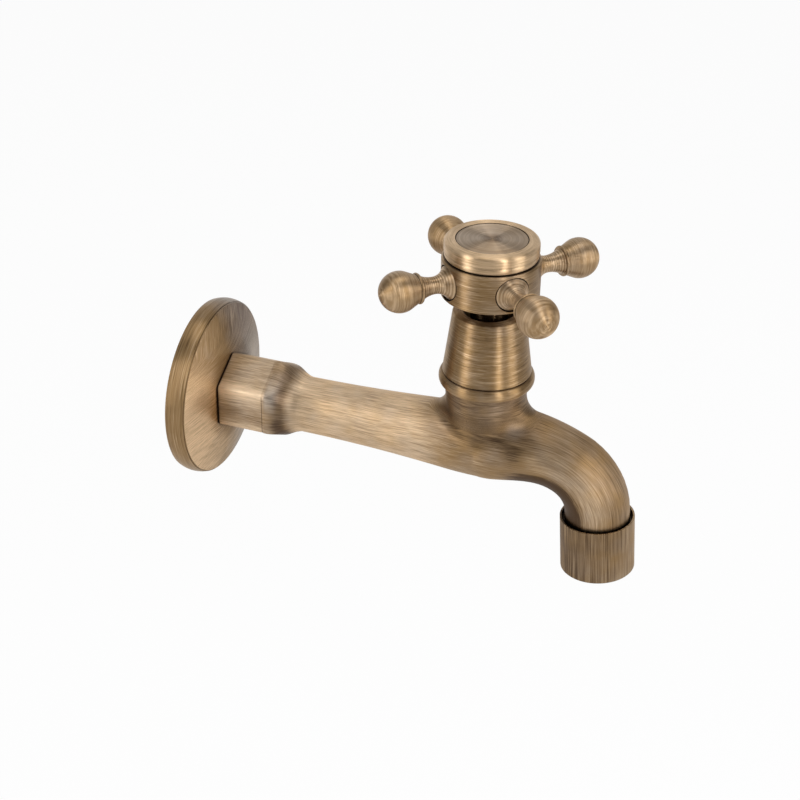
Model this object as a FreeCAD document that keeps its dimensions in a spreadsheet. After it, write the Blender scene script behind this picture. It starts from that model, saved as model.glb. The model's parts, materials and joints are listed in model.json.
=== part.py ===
import FreeCAD, Part
import math
import os
import re
import Sketcher

# Wall-mounted cold water tap with a four-ball cross handle.
# Millimetres. +Z is up, the pipe runs out from the wall along -Y, and the origin is the
# middle of the inlet where it crosses the wall. The tower of the valve stands on the pipe.

SIZES = [
    # inlet and hexagon
    ("inlet_thread_radius", 10.48, "outside of the half inch pipe thread"),
    ("inlet_thread_length", 11.0, "thread, from its end to the plain neck"),
    ("inlet_stand_out", 6.5, "how far the inlet reaches behind the wall's face"),
    ("inlet_thread_chamfer", 1.0, "lead-in at the end of the thread"),
    ("inlet_relief_radius", 9.6, "plain neck between thread and hexagon"),
    ("inlet_bore_radius", 7.25, "waterway along the pipe"),
    ("hex_across", 24.3, "spanner size of the body's hexagon"),
    ("hex_corner", 1.6, "rounding of its corners"),
    ("hex_length", 16.3, "milled length of the hexagon"),
    ("shoulder_proud", 0.15, "how far the cast shoulder stands out over the milled flats"),
    ("shoulder_length", 11.2, "from the milled hexagon to the round pipe"),
    # wall flange
    ("flange_radius", 30.0, "widest radius of the wall flange"),
    ("flange_widest", 2.7, "height of the widest circle over the wall"),
    ("flange_foot_inset", 0.7, "rim where it meets the wall, in from the widest radius"),
    ("flange_rim_round", 9.5, "curve of the rim's outside"),
    ("flange_rim_height", 6.8, "height of the rounded rim"),
    ("flange_rim_width", 0.9, "edge of the dished face, in from the widest radius"),
    ("flange_step", 0.35, "fine step between rim and face"),
    ("flange_height", 10.5, "wall to the seat of the hexagon"),
    ("flange_seat_radius", 14.6, "flat seat round the hole"),
    ("flange_sheet", 1.5, "thickness of the pressed sheet"),
    ("flange_hole_gap", 0.5, "play round the thread"),
    # cast body
    ("pipe_radius", 9.3, "pipe behind the shoulder"),
    ("belly_run", 12.3, "the tower's axis back to where the swelling turns from hollow to round"),
    ("belly_radius", 11.8, "pipe under the tower"),
    ("spout_radius", 10.5, "round spout"),
    ("root_belly_reach", 8.0, "fullest section of the spout's root from the tower's axis"),
    ("root_rise", 1.0, "its middle over the pipe's axis"),
    ("root_swell", 0.4, "its radius over the belly's"),
    ("root_waist_reach", 15.0, "next section of the root from the tower's axis"),
    ("root_waist_rise", 1.45, "its middle over the pipe's axis"),
    ("root_turn", 20.0, "turn of the bend where the root of the spout ends, degrees"),
    ("root_overlap", 12.0, "further turn where the root follows the bend, degrees"),
    ("spout_wall", 2.3, "wall of the spout"),
    ("tower_reach", 100.3, "wall to the axis of the tower"),
    ("spout_throw", 37.9, "tower's axis to the outlet's axis, at the height of the pipe"),
    ("bend_radius", 17.9, "middle line of the spout's bend"),
    ("outlet_tilt", 4.0, "lean of the outlet away from the wall, degrees"),
    ("boss_radius", 13.3, "top of the boss that carries the tower"),
    ("boss_foot_inset", 0.3, "same boss at the pipe's axis, in from the belly's radius"),
    ("boss_height", 22.5, "top of the boss over the pipe's axis"),
    ("boss_blend", 7.0, "cast blend between boss and pipe"),
    ("seat_height", 7.5, "valve seat over the pipe's axis"),
    ("seat_hole_radius", 5.2, "hole through the valve seat"),
    ("under_seat_radius", 4.8, "waterway below the seat"),
    ("under_seat_start", 12.0, "how far before the tower's axis it has narrowed"),
    ("chamber_radius", 10.3, "threaded chamber for the headwork"),
    ("port_width", 9.0, "cored port from chamber to spout"),
    ("port_height", 6.0, "same port, up from the seat"),
    ("port_depth", 4.0, "same port, along the spout"),
    ("port_floor", 0.8, "floor of the port, from the chamber to the drop into the spout"),
    ("port_corner", 3.0, "rounding of the port's far corner"),
    # outlet
    ("spigot_radius", 9.9, "threaded end of the spout"),
    ("spigot_length", 8.4, "thread that the outlet collar takes"),
    ("collar_radius", 12.05, "outlet collar"),
    ("collar_top", 19.0, "pipe's axis to the collar's top, along the outlet"),
    ("collar_length", 18.9, "outlet collar, end to end"),
    ("collar_edge", 0.35, "broken lower edge of the collar"),
    ("collar_mouth_radius", 11.45, "countersunk top that the spout drops into"),
    ("collar_mouth_depth", 1.6, "depth of that countersink"),
    ("collar_lip_radius", 8.5, "lip that holds the aerator in"),
    ("collar_lip_height", 1.2, "thickness of that lip"),
    ("collar_washer_height", 1.5, "rubber washer over the aerator"),
    ("screen_height", 0.5, "wire screen over the aerator"),
    ("screen_hole_radius", 0.55, "hole of the screen"),
    # bonnet cover
    ("bead_radius", 15.25, "bead round the foot of the cover"),
    ("bead_edge_radius", 14.5, "bead where it meets boss and cone"),
    ("bead_height", 3.8, "height of the bead"),
    ("cone_foot_radius", 14.15, "cone over the bead"),
    ("cone_step", 0.3, "groove between bead and cone"),
    ("cone_top_radius", 11.5, "cone at the top"),
    ("cover_top", 47.6, "top of the cover over the pipe's axis"),
    ("cover_edge", 0.7, "rounding of the top edge"),
    ("cover_wall", 1.25, "wall of the cover"),
    ("cover_gap", 0.2, "play of the cover round the headwork's flange"),
    ("cover_mouth_radius", 8.3, "hole in the top of the cover"),
    ("neck_stand", 3.0, "neck of the headwork over the cover"),
    # headwork
    ("neck_radius", 5.8, "neck of the headwork"),
    ("neck_foot_radius", 7.2, "neck over the hexagon"),
    ("headwork_hex_across", 20.0, "spanner size of the headwork"),
    ("headwork_hex_height", 5.5, "height of that hexagon"),
    ("headwork_flange_radius", 12.7, "flange that clamps the washer"),
    ("headwork_flange_height", 2.0, "thickness of that flange"),
    ("headwork_washer_height", 0.8, "washer between boss and flange"),
    ("headwork_thread_length", 7.0, "thread in the boss"),
    ("headwork_thread_gap", 0.05, "play of that thread"),
    ("skirt_radius", 9.2, "skirt round the ceramic discs"),
    ("skirt_floor_gap", 0.25, "skirt over the chamber's floor"),
    ("disc_radius", 7.9, "ceramic discs"),
    ("disc_gap", 0.08, "play round the discs"),
    ("disc_height", 2.6, "thickness of a ceramic disc"),
    ("disc_face_gap", 0.02, "water film between the two discs"),
    ("disc_port_radius", 6.2, "outer edge of a disc's ports"),
    ("disc_port_hub", 1.6, "half the bridge between a disc's ports"),
    ("seal_height", 2.5, "rubber seat seal"),
    ("seal_bore_radius", 5.6, "waterway through the seat seal"),
    ("window_width", 10.0, "side windows of the headwork"),
    ("stem_radius", 4.2, "spindle"),
    ("stem_gap", 0.05, "running play of the spindle"),
    ("stem_flange_height", 1.6, "flange of the spindle"),
    ("drive_width", 2.6, "driving key under the spindle"),
    ("drive_depth", 1.2, "how far the key enters the upper disc"),
    ("thrust_height", 0.8, "thrust washer"),
    ("ring_section", 1.32, "thickness of a spindle seal ring"),
    ("lower_ring_height", 25.0, "lower seal ring over the pipe's axis"),
    ("ring_pitch", 5.0, "from one seal ring to the next"),
    ("clip_height", 0.7, "retaining clip"),
    ("clip_radius", 5.6, "outside of the clip"),
    ("clip_groove_radius", 3.6, "groove that the clip sits in"),
    ("clip_opening", 60.0, "opening of the clip, degrees"),
    # handle
    ("hub_radius", 15.4, "hub of the handle"),
    ("hub_clearance", 0.6, "hub's collar over the retaining clip"),
    ("hub_height", 12.4, "height of the hub"),
    ("hub_chamfer", 0.5, "top edge of the hub"),
    ("hub_edge", 0.35, "broken lower edge of the hub"),
    ("hub_collar_radius", 5.7, "collar under the hub"),
    ("hub_collar_height", 1.7, "length of that collar"),
    ("hub_well_radius", 10.6, "well in the top that takes the cap"),
    ("hub_well_depth", 2.9, "depth of that well"),
    ("hub_web", 2.4, "web under the screw"),
    ("spline_radius", 4.0, "tips of the spindle's splines"),
    ("spline_depth", 0.45, "depth of a spline groove"),
    ("spline_gap", 0.05, "play between spindle and hub"),
    ("spline_count", 20, "splines"),
    ("screw_radius", 2.0, "handle screw"),
    ("screw_length", 12.0, "screw under its head"),
    ("screw_gap", 0.2, "play of the screw in the hub"),
    ("screw_head_radius", 3.6, "head of the screw"),
    ("screw_head_height", 2.2, "height of the head"),
    ("screw_socket_across", 2.5, "hexagon socket in the head"),
    ("screw_socket_depth", 1.3, "depth of that socket"),
    ("screw_washer_radius", 4.6, "washer under the head"),
    ("screw_washer_height", 0.5, "thickness of the washer"),
    ("arm_count", 4, "arms of the cross"),
    ("arm_turn", 45.0, "first arm from the X axis when the tap is shut, degrees"),
    ("socket_radius", 5.65, "recess that an arm stands in"),
    ("socket_floor", 13.4, "floor of the recess from the handle's axis"),
    ("root_radius", 5.4, "foot of an arm"),
    ("root_rim", 1.2, "straight rim of that foot"),
    ("root_step", 0.35, "step from the rim to the neck"),
    ("arm_edge", 0.4, "broken edges of stud and rim"),
    ("neck_waist_radius", 2.7, "thinnest place of an arm"),
    ("neck_waist_reach", 19.3, "that place from the handle's axis"),
    ("neck_end_radius", 4.1, "neck where it meets the ring"),
    ("ring_reach", 24.2, "ring of an arm from the handle's axis"),
    ("ring_width", 0.9, "width of the ring"),
    ("ring_radius", 4.85, "ring of an arm"),
    ("ball_reach", 30.75, "middle of a ball from the handle's axis"),
    ("ball_radius", 6.44, "ball"),
    ("ball_foot_radius", 4.45, "ball where it meets the ring"),
    ("stud_radius", 2.5, "threaded stud of an arm"),
    ("stud_end", 9.2, "inner end of the stud from the handle's axis"),
    # cap and disc
    ("cap_radius", 14.75, "band of the cap"),
    ("cap_height", 6.0, "cap over the hub"),
    ("cap_seam", 0.5, "shadow line under the cap"),
    ("cap_seam_radius", 13.6, "bottom of that shadow line"),
    ("cap_bead_radius", 14.65, "lower bead of the cap"),
    ("cap_bead_height", 1.9, "height of the lower bead"),
    ("cap_groove", 0.3, "groove over the bead"),
    ("cap_edge", 1.3, "rounding of the cap's top edge"),
    ("cap_skirt_length", 2.6, "part that drops into the hub's well"),
    ("cap_skirt_gap", 0.05, "play in the well"),
    ("cap_hollow_radius", 8.6, "hollow over the screw"),
    ("cap_hollow_top", 3.4, "top of the hollow over the hub"),
    ("index_radius", 11.1, "plain disc in the cap"),
    ("index_gap", 0.2, "groove round the disc"),
    ("index_height", 1.1, "thickness of the disc"),
    ("index_sink", 0.1, "disc below the cap's edge"),
]

ROOT_SECTIONS = [
    # along the pipe from the tower's axis, radius, rise of the section's middle
    ("0", "belly_radius", "0"),
    ("root_belly_reach", "belly_radius + root_swell", "root_rise"),
    ("root_waist_reach", "(belly_radius + spout_radius) / 2 + root_swell", "root_waist_rise"),
]

PLACES = [
    ("hex_end", "flange_height + hex_length", "end of the milled hexagon"),
    ("pipe_start", "flange_height + hex_length + shoulder_length", "start of the round pipe"),
    ("belly_turn", "tower_reach - belly_run", "where the swelling turns, from the wall"),
    ("spout_reach", "tower_reach + spout_throw", "wall to the axis of the outlet, at the height of the pipe"),
    ("flange_face_radius", "flange_radius - flange_rim_width", "outer edge of the dished face"),
    ("bend_end", "bend_radius * (1 - sin(outlet_tilt)) / cos(outlet_tilt)", "bend's end along the outlet"),
    ("bend_start", "spout_reach - bend_radius * cos(outlet_tilt)"
     " + bend_radius * (1 - sin(outlet_tilt)) / cos(outlet_tilt) * sin(outlet_tilt)",
     "bend's start from the wall"),
    ("spout_end", "collar_top + collar_mouth_depth", "shoulder of the spout, along the outlet"),
    ("spigot_end", "collar_top + collar_mouth_depth + spigot_length", "end of the spout's thread"),
    ("collar_end", "collar_top + collar_length", "mouth of the outlet collar"),
    ("port_end", "tower_reach + chamber_radius + port_depth", "far side of the port"),
    ("spout_bore_start", "tower_reach + chamber_radius + port_floor", "closed end of the spout's bore"),
    ("washer_top", "boss_height + headwork_washer_height", "top of the headwork's washer"),
    ("headwork_flange_top", "boss_height + headwork_washer_height + headwork_flange_height", "its flange"),
    ("lower_disc_foot", "seat_height + seal_height", "underside of the fixed disc"),
    ("upper_disc_foot", "seat_height + seal_height + disc_height + disc_face_gap",
     "underside of the upper disc"),
    ("stem_foot", "seat_height + seal_height + 2 * disc_height + disc_face_gap", "underside of the spindle"),
    ("stem_flange_top", "seat_height + seal_height + 2 * disc_height + disc_face_gap + stem_flange_height",
     "top of the spindle's flange"),
    ("disc_room_top", "seat_height + seal_height + 2 * disc_height + disc_face_gap + stem_flange_height"
     " + thrust_height", "top of the room for the discs"),
    ("neck_top", "cover_top + neck_stand", "top of the neck over the pipe's axis"),
    ("hub_foot", "cover_top + neck_stand + clip_height + hub_clearance + hub_collar_height",
     "underside of the hub over the pipe's axis"),
    ("hub_top", "hub_foot + hub_height", "top of the hub"),
    ("hub_well_floor", "hub_foot + hub_height - hub_well_depth", "floor of the hub's well"),
    ("stem_room_top", "hub_foot + hub_height - hub_well_depth - hub_web", "top of the splined socket"),
    ("arm_height", "hub_foot + hub_height / 2", "arms over the pipe's axis"),
    ("cap_top", "hub_foot + hub_height + cap_height", "top of the cap"),
]

doc = FreeCAD.newDocument("wall_tap")
pieces = []


def fill_sheet():
    """The sheet of driving sizes, and under it the places that follow from them."""
    sheet = doc.addObject("Spreadsheet::Sheet", "Dims")
    row = 0
    for alias, value, note in SIZES:
        row += 1
        sheet.set(f"A{row}", note)
        sheet.set(f"B{row}", str(value))
        sheet.setAlias(f"B{row}", alias)
    for alias, text, note in PLACES:
        row += 1
        sheet.set(f"A{row}", note)
        sheet.set(f"B{row}", "=" + text)
        sheet.setAlias(f"B{row}", alias)
    doc.recompute()
    return sheet


sheet = fill_sheet()
named = {alias for alias, value, note in SIZES + PLACES}
probe = doc.addObject("App::FeaturePython", "Probe")
probe.addProperty("App::PropertyFloat", "Result")


def linked(text):
    """A formula of named sizes, written so that it reads them from the sheet."""
    def in_sheet(word):
        return "Dims." + word.group() if word.group() in named else word.group()

    return re.sub(r"[a-z][a-z_0-9]*", in_sheet, text)


def number(text):
    """The present value of a formula of named sizes."""
    probe.setExpression("Result", linked(text))
    probe.recompute()
    return probe.Result


def bind(thing, prop, text):
    """Sets a size of a feature and keeps it tied to the sheet."""
    thing.setExpression(prop, linked(text))


def new_sketch(body, name, plane, lift="0", shift="0", turn=0):
    """A sketch on one of the body's own planes, lifted off it, shifted along it and turned on it."""
    sketch = body.newObject("Sketcher::SketchObject", name)
    base = [f for f in body.Origin.OriginFeatures if f.Role == plane][0]
    sketch.AttachmentSupport = [(base, "")]
    sketch.MapMode = "FlatFace"
    turned_by = FreeCAD.Rotation(FreeCAD.Vector(0, 0, 1), turn)
    sketch.AttachmentOffset = FreeCAD.Placement(FreeCAD.Vector(number(shift), 0, number(lift)), turned_by)
    bind(sketch, "AttachmentOffset.Base.z", lift)
    bind(sketch, "AttachmentOffset.Base.x", shift)
    return sketch


def place_point(sketch, geometry, end, x, y):
    """Ties one point of a sketch to two formulas."""
    for kind, text, axis in (("DistanceX", x, -2), ("DistanceY", y, -1)):
        if text == "0":
            sketch.addConstraint(Sketcher.Constraint("PointOnObject", geometry, end, axis))
            continue
        index = sketch.addConstraint(Sketcher.Constraint(kind, -1, 1, geometry, end, number(text)))
        sketch.setExpression(f"Constraints[{index}]", linked(text))


def arc_between(start, end, radius, side):
    """The shorter arc between two points, with its middle to the left or right of the way."""
    way = end - start
    half = way.Length / 2
    off = math.sqrt(max(radius * radius - half * half, 0))
    left = FreeCAD.Vector(-way.y, way.x, 0).normalize()
    middle = (start + end) / 2 + left * (off if side == "left" else -off)
    first, last = (start, end) if side == "left" else (end, start)
    angle_first = math.atan2(first.y - middle.y, first.x - middle.x)
    angle_last = math.atan2(last.y - middle.y, last.x - middle.x)
    if angle_last <= angle_first:
        angle_last += 2 * math.pi
    circle = Part.Circle(middle, FreeCAD.Vector(0, 0, 1), radius)
    return Part.ArcOfCircle(circle, angle_first, angle_last)


def draw(sketch, corners, closed=True):
    """Draws an outline. A corner is (x, y), or (x, y, radius, side) where an arc leaves it."""
    spots = [FreeCAD.Vector(number(c[0]), number(c[1]), 0) for c in corners]
    count = len(corners) if closed else len(corners) - 1
    ends = []
    for i in range(count):
        start, end = spots[i], spots[(i + 1) % len(spots)]
        if len(corners[i]) == 2:
            index = sketch.addGeometry(Part.LineSegment(start, end))
            ends.append((index, 1, 2))
            continue
        radius, side = corners[i][2:]
        index = sketch.addGeometry(arc_between(start, end, number(radius), side))
        ends.append((index, 1, 2) if side == "left" else (index, 2, 1))
    for i, (line, first, last) in enumerate(ends):
        if closed or i + 1 < count:
            next_line, next_first = ends[(i + 1) % count][:2]
            sketch.addConstraint(Sketcher.Constraint("Coincident", line, last, next_line, next_first))
        place_point(sketch, line, first, corners[i][0], corners[i][1])
    if not closed:
        place_point(sketch, ends[-1][0], ends[-1][2], corners[-1][0], corners[-1][1])
    for corner, (line, first, last) in zip(corners, ends):
        if len(corner) > 2:
            size = sketch.addConstraint(Sketcher.Constraint("Radius", line, number(corner[2])))
            sketch.setExpression(f"Constraints[{size}]", linked(corner[2]))


def draw_circle(sketch, radius, x="0", y="0"):
    """A circle, its middle tied to two formulas."""
    middle = FreeCAD.Vector(number(x), number(y), 0)
    index = sketch.addGeometry(Part.Circle(middle, FreeCAD.Vector(0, 0, 1), number(radius)))
    place_point(sketch, index, 3, x, y)
    size = sketch.addConstraint(Sketcher.Constraint("Radius", index, number(radius)))
    sketch.setExpression(f"Constraints[{size}]", linked(radius))


def draw_hexagon(sketch, across, corner):
    """A hexagon with rounded corners, one corner up."""
    corners = []
    for k in range(6):
        turn = 90 + 60 * k
        reach = f"(({across}) / 2 - ({corner})) / cos(30)"
        for side in (-30, 30):
            point = [f"{reach} * {f}({turn}) + ({corner}) * {f}({turn + side})" for f in ("cos", "sin")]
            corners.append((*point, corner, "left") if side < 0 else tuple(point))
    draw(sketch, corners)


def draw_round_section(sketch, radius, share=20):
    """A circle in twelve arcs, to end a loft that begins as a rounded hexagon."""
    corners = []
    for k in range(6):
        for side in (-share, share):
            turn = 90 + 60 * k + side
            corners.append((f"({radius}) * cos({turn})", f"({radius}) * sin({turn})", radius, "left"))
    draw(sketch, corners)


def spin(body, name, sketch, axis="V_Axis", kind="Revolution"):
    """Turns an outline about an axis of its sketch, to add or to cut."""
    feature = body.newObject("PartDesign::" + kind, name)
    feature.Profile = sketch
    feature.ReferenceAxis = (sketch, [axis])
    feature.Angle = 360
    return feature


def extrude(body, name, sketch, length, kind="Pad", against=False):
    """A pad along the sketch's normal, or a pocket against it; against turns either round."""
    feature = body.newObject("PartDesign::" + kind, name)
    feature.Profile = sketch
    feature.Length = number(length)
    bind(feature, "Length", length)
    feature.Reversed = against
    return feature


def repeat(body, name, features, count):
    """Copies features round the body's own vertical axis."""
    doc.recompute()
    pattern = body.newObject("PartDesign::PolarPattern", name)
    pattern.Originals = features
    axis = [f for f in body.Origin.OriginFeatures if f.Role == "Z_Axis"][0]
    pattern.Axis = (axis, [""])
    pattern.Angle = 360
    pattern.Occurrences = int(number(count))
    body.Tip = pattern
    return pattern


def round_off(body, name, feature, radius, belongs):
    """A fillet along those edges of the body so far that pass the given test."""
    doc.recompute()
    edges = [f"Edge{i}" for i, edge in enumerate(feature.Shape.Edges, start=1) if belongs(edge)]
    fillet = body.newObject("PartDesign::Fillet", name)
    fillet.Base = (feature, edges)
    fillet.Radius = number(radius)
    bind(fillet, "Radius", radius)
    return fillet


def turned(label, corners):
    """A piece turned on a lathe, from its outline in radius and height."""
    body = doc.addObject("PartDesign::Body", label)
    body.Label = label
    sketch = new_sketch(body, label + "_outline", "XZ_Plane")
    draw(sketch, corners)
    spin(body, label + "_turning", sketch)
    pieces.append(body)
    return body


def on_tower(body, height="0", turn="0"):
    """Stands a piece on the tower's axis."""
    bind(body, "Placement.Base.y", "-tower_reach")
    bind(body, "Placement.Base.z", height)
    body.Placement.Rotation = FreeCAD.Rotation(FreeCAD.Vector(0, 0, 1), number(turn))


def on_outlet(body):
    """Hangs a piece on the outlet's axis, its own height measured down from the pipe's axis."""
    body.Placement.Rotation = FreeCAD.Rotation(FreeCAD.Vector(1, 0, 0), number("180 - outlet_tilt"))
    bind(body, "Placement.Base.y", "-spout_reach")


def level_arc(run, rise):
    """Radius of an arc that starts level and rises by so much over its run."""
    return f"(({run})^2 + ({rise})^2) / (2 * ({rise}))"


def on_bend(turn):
    """The place on the middle line of the spout's bend after so many degrees."""
    return f"-(bend_start + bend_radius * sin({turn}))", f"-bend_radius * (1 - cos({turn}))"


def bend_section(body, name, turn):
    """The spout's round section after so many degrees of its bend, its seam on the underside."""
    sketch = new_sketch(body, name, "XY_Plane")
    y, z = on_bend(turn)
    angle = math.radians(number(turn))
    down = FreeCAD.Vector(0, math.sin(angle), -math.cos(angle))
    onward = FreeCAD.Vector(0, -math.cos(angle), -math.sin(angle))
    facing = FreeCAD.Rotation(down, FreeCAD.Vector(1, 0, 0), onward, "ZXY")
    sketch.AttachmentOffset = FreeCAD.Placement(FreeCAD.Vector(0, number(y), number(z)), facing)
    bind(sketch, "AttachmentOffset.Base.y", y)
    bind(sketch, "AttachmentOffset.Base.z", z)
    draw_circle(sketch, "spout_radius")
    return sketch


def spout_root(body):
    """The root of the spout: round sections that rise out of the belly and flow into the bend."""
    sections = []
    for k, (reach, radius, rise) in enumerate(ROOT_SECTIONS):
        section = new_sketch(body, f"root_section_{k + 1}", "XZ_Plane", f"tower_reach + {reach}", turn=-90)
        draw_circle(section, radius, f"-({rise})")
        sections.append(section)
    sections.append(bend_section(body, "root_section_bend", "root_turn"))
    sections.append(bend_section(body, "root_section_end", "root_turn + root_overlap"))
    root = body.newObject("PartDesign::AdditiveLoft", "spout_root")
    root.Profile = sections[0]
    root.Sections = sections[1:]


def tap_body():
    """The casting: inlet, hexagon, pipe, boss of the valve, spout and the waterway in them."""
    body = doc.addObject("PartDesign::Body", "tap_body")
    body.Label = "tap_body"
    pieces.append(body)

    flats = new_sketch(body, "hex_outline", "XZ_Plane", "flange_height")
    draw_hexagon(flats, "hex_across", "hex_corner")
    extrude(body, "hex", flats, "hex_length")

    shoulder_sections = [
        ("hex_end", "hex_across + 2 * shoulder_proud", "hex_corner + 1"),
        ("hex_end + 0.36 * shoulder_length", "hex_across - 0.5", "hex_corner + 2.5"),
        ("hex_end + 0.64 * shoulder_length", "(hex_across + 2 * pipe_radius) / 2", "pipe_radius * 0.88"),
    ]
    sections = []
    for k, (lift, across, corner) in enumerate(shoulder_sections):
        section = new_sketch(body, f"shoulder_section_{k + 1}", "XZ_Plane", lift)
        draw_hexagon(section, across, corner)
        sections.append(section)
    last = new_sketch(body, "shoulder_section_4", "XZ_Plane", "pipe_start")
    draw_round_section(last, "pipe_radius")
    sections.append(last)
    shoulder = body.newObject("PartDesign::AdditiveLoft", "shoulder")
    shoulder.Profile = sections[0]
    shoulder.Sections = sections[1:]

    inlet = new_sketch(body, "inlet_outline", "YZ_Plane")
    draw(inlet, [
        ("inlet_stand_out", "0"),
        ("inlet_stand_out", "inlet_thread_radius - inlet_thread_chamfer"),
        ("inlet_stand_out - inlet_thread_chamfer", "inlet_thread_radius"),
        ("inlet_stand_out - inlet_thread_chamfer - inlet_thread_length", "inlet_thread_radius"),
        ("inlet_stand_out - inlet_thread_chamfer - inlet_thread_length", "inlet_relief_radius"),
        ("-flange_height", "inlet_relief_radius"),
        ("-flange_height", "0"),
    ])
    spin(body, "inlet", inlet, "H_Axis")

    pipe = new_sketch(body, "pipe_outline", "YZ_Plane")
    share = "(belly_turn - pipe_start) / (tower_reach - pipe_start)"
    hollow_rise = f"(belly_radius - pipe_radius) * {share}"
    round_rise = f"(belly_radius - pipe_radius) * (1 - {share})"
    hollow_arc = level_arc("belly_turn - pipe_start", hollow_rise)
    round_arc = level_arc("tower_reach - belly_turn", round_rise)
    draw(pipe, [
        ("-tower_reach", "0"),
        ("-pipe_start", "0"),
        ("-pipe_start", "-pipe_radius", hollow_arc, "left"),
        ("-belly_turn", f"-(pipe_radius + {hollow_rise})", round_arc, "right"),
        ("-tower_reach", "-belly_radius"),
    ])
    spin(body, "pipe", pipe, "H_Axis")
    spout_root(body)

    boss = new_sketch(body, "boss_outline", "YZ_Plane", shift="-tower_reach")
    draw(boss, [
        ("0", "0"),
        ("belly_radius - boss_foot_inset", "0"),
        ("boss_radius", "boss_height"),
        ("0", "boss_height"),
    ])
    tower = spin(body, "boss", boss)
    doc.recompute()

    def foot_of_boss(edge):
        box = edge.BoundBox
        wide = box.XLength > 0.5 and box.ZMax < number("belly_radius + root_rise + 1") and box.ZMin > 0
        return wide and abs(box.Center.y + number("tower_reach")) < number("boss_radius")

    round_off(body, "boss_blend", tower, "boss_blend", foot_of_boss)

    route = new_sketch(body, "spout_route", "YZ_Plane")
    bend_foot = ("-(spout_reach + bend_end * sin(outlet_tilt))", "-bend_end * cos(outlet_tilt)")
    draw(route, [
        (*on_bend("root_turn + root_overlap"), "bend_radius", "left"),
        bend_foot,
        ("-(spout_reach + spout_end * sin(outlet_tilt))", "-spout_end * cos(outlet_tilt)"),
    ], closed=False)
    ring = bend_section(body, "spout_section", "root_turn + root_overlap")
    spout = body.newObject("PartDesign::AdditivePipe", "spout")
    spout.Profile = ring
    spout.Spine = (route, ["Edge1", "Edge2"])

    turn_down = FreeCAD.Rotation(FreeCAD.Vector(1, 0, 0), number("180 - outlet_tilt"))
    foot_place = FreeCAD.Vector(0, number(bend_foot[0]), number(bend_foot[1]))
    thread = new_sketch(body, "spigot_outline", "XY_Plane")
    thread.AttachmentOffset = FreeCAD.Placement(foot_place, turn_down)
    bind(thread, "AttachmentOffset.Base.y", bend_foot[0])
    bind(thread, "AttachmentOffset.Base.z", bend_foot[1])
    draw_circle(thread, "spigot_radius")
    extrude(body, "spigot", thread, "spigot_end - bend_end")

    bore = new_sketch(body, "inlet_bore_outline", "YZ_Plane")
    narrowed = "-(tower_reach - under_seat_start)"
    draw(bore, [
        ("inlet_stand_out + inlet_thread_chamfer", "0"),
        ("inlet_stand_out + inlet_thread_chamfer", "inlet_bore_radius"),
        ("-(tower_reach - under_seat_start - inlet_bore_radius)", "inlet_bore_radius"),
        (narrowed, "under_seat_radius"),
        ("-(tower_reach + seat_hole_radius)", "under_seat_radius"),
        ("-(tower_reach + seat_hole_radius)", "0"),
    ])
    spin(body, "inlet_bore", bore, "H_Axis", "Groove")

    chamber = new_sketch(body, "chamber_outline", "YZ_Plane", shift="-tower_reach")
    draw(chamber, [
        ("0", "0"),
        ("seat_hole_radius", "0"),
        ("seat_hole_radius", "seat_height"),
        ("chamber_radius", "seat_height"),
        ("chamber_radius", "boss_height + 1"),
        ("0", "boss_height + 1"),
    ])
    spin(body, "chamber", chamber, kind="Groove")

    port = new_sketch(body, "port_outline", "YZ_Plane", "-port_width / 2")
    draw(port, [
        ("-(tower_reach + skirt_radius)", "seat_height"),
        ("-spout_bore_start", "seat_height"),
        ("-spout_bore_start", "0"),
        ("-port_end", "0"),
        ("-port_end", "seat_height + port_height - port_corner", "port_corner", "right"),
        ("-(port_end - port_corner)", "seat_height + port_height"),
        ("-(tower_reach + skirt_radius)", "seat_height + port_height"),
    ])
    extrude(body, "port", port, "port_width", "Pocket", against=True)

    hollow = new_sketch(body, "spout_bore_route", "YZ_Plane")
    draw(hollow, [
        ("-spout_bore_start", "0"),
        ("-bend_start", "0", "bend_radius", "left"),
        bend_foot,
        ("-(spout_reach + (spigot_end + 1) * sin(outlet_tilt))", "-(spigot_end + 1) * cos(outlet_tilt)"),
    ], closed=False)
    hole = new_sketch(body, "spout_bore_section", "XZ_Plane", "spout_bore_start")
    draw_circle(hole, "spout_radius - spout_wall")
    waterway = body.newObject("PartDesign::SubtractivePipe", "spout_bore")
    waterway.Profile = hole
    waterway.Spine = (hollow, ["Edge1", "Edge2", "Edge3"])
    return body


def wall_flange():
    """Pressed cover plate with a rounded rim, a fine step and a gently dished face."""
    inner_face = "flange_face_radius - 1.3 * flange_sheet"
    body = turned("wall_flange", [
        ("inlet_thread_radius + flange_hole_gap", "flange_height"),
        ("inlet_thread_radius + flange_hole_gap", "flange_height - flange_sheet"),
        ("flange_seat_radius", "flange_height - flange_sheet"),
        (inner_face, "flange_rim_height - flange_sheet"),
        (inner_face, "0"),
        ("flange_radius - flange_foot_inset", "0", "flange_rim_round", "left"),
        ("flange_radius", "flange_widest", "flange_rim_round", "left"),
        ("flange_face_radius + flange_step", "flange_rim_height - flange_step"),
        ("flange_face_radius", "flange_rim_height - flange_step"),
        ("flange_face_radius", "flange_rim_height"),
        ("flange_seat_radius", "flange_height"),
    ])
    body.Placement.Rotation = FreeCAD.Rotation(FreeCAD.Vector(1, 0, 0), 90)


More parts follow.
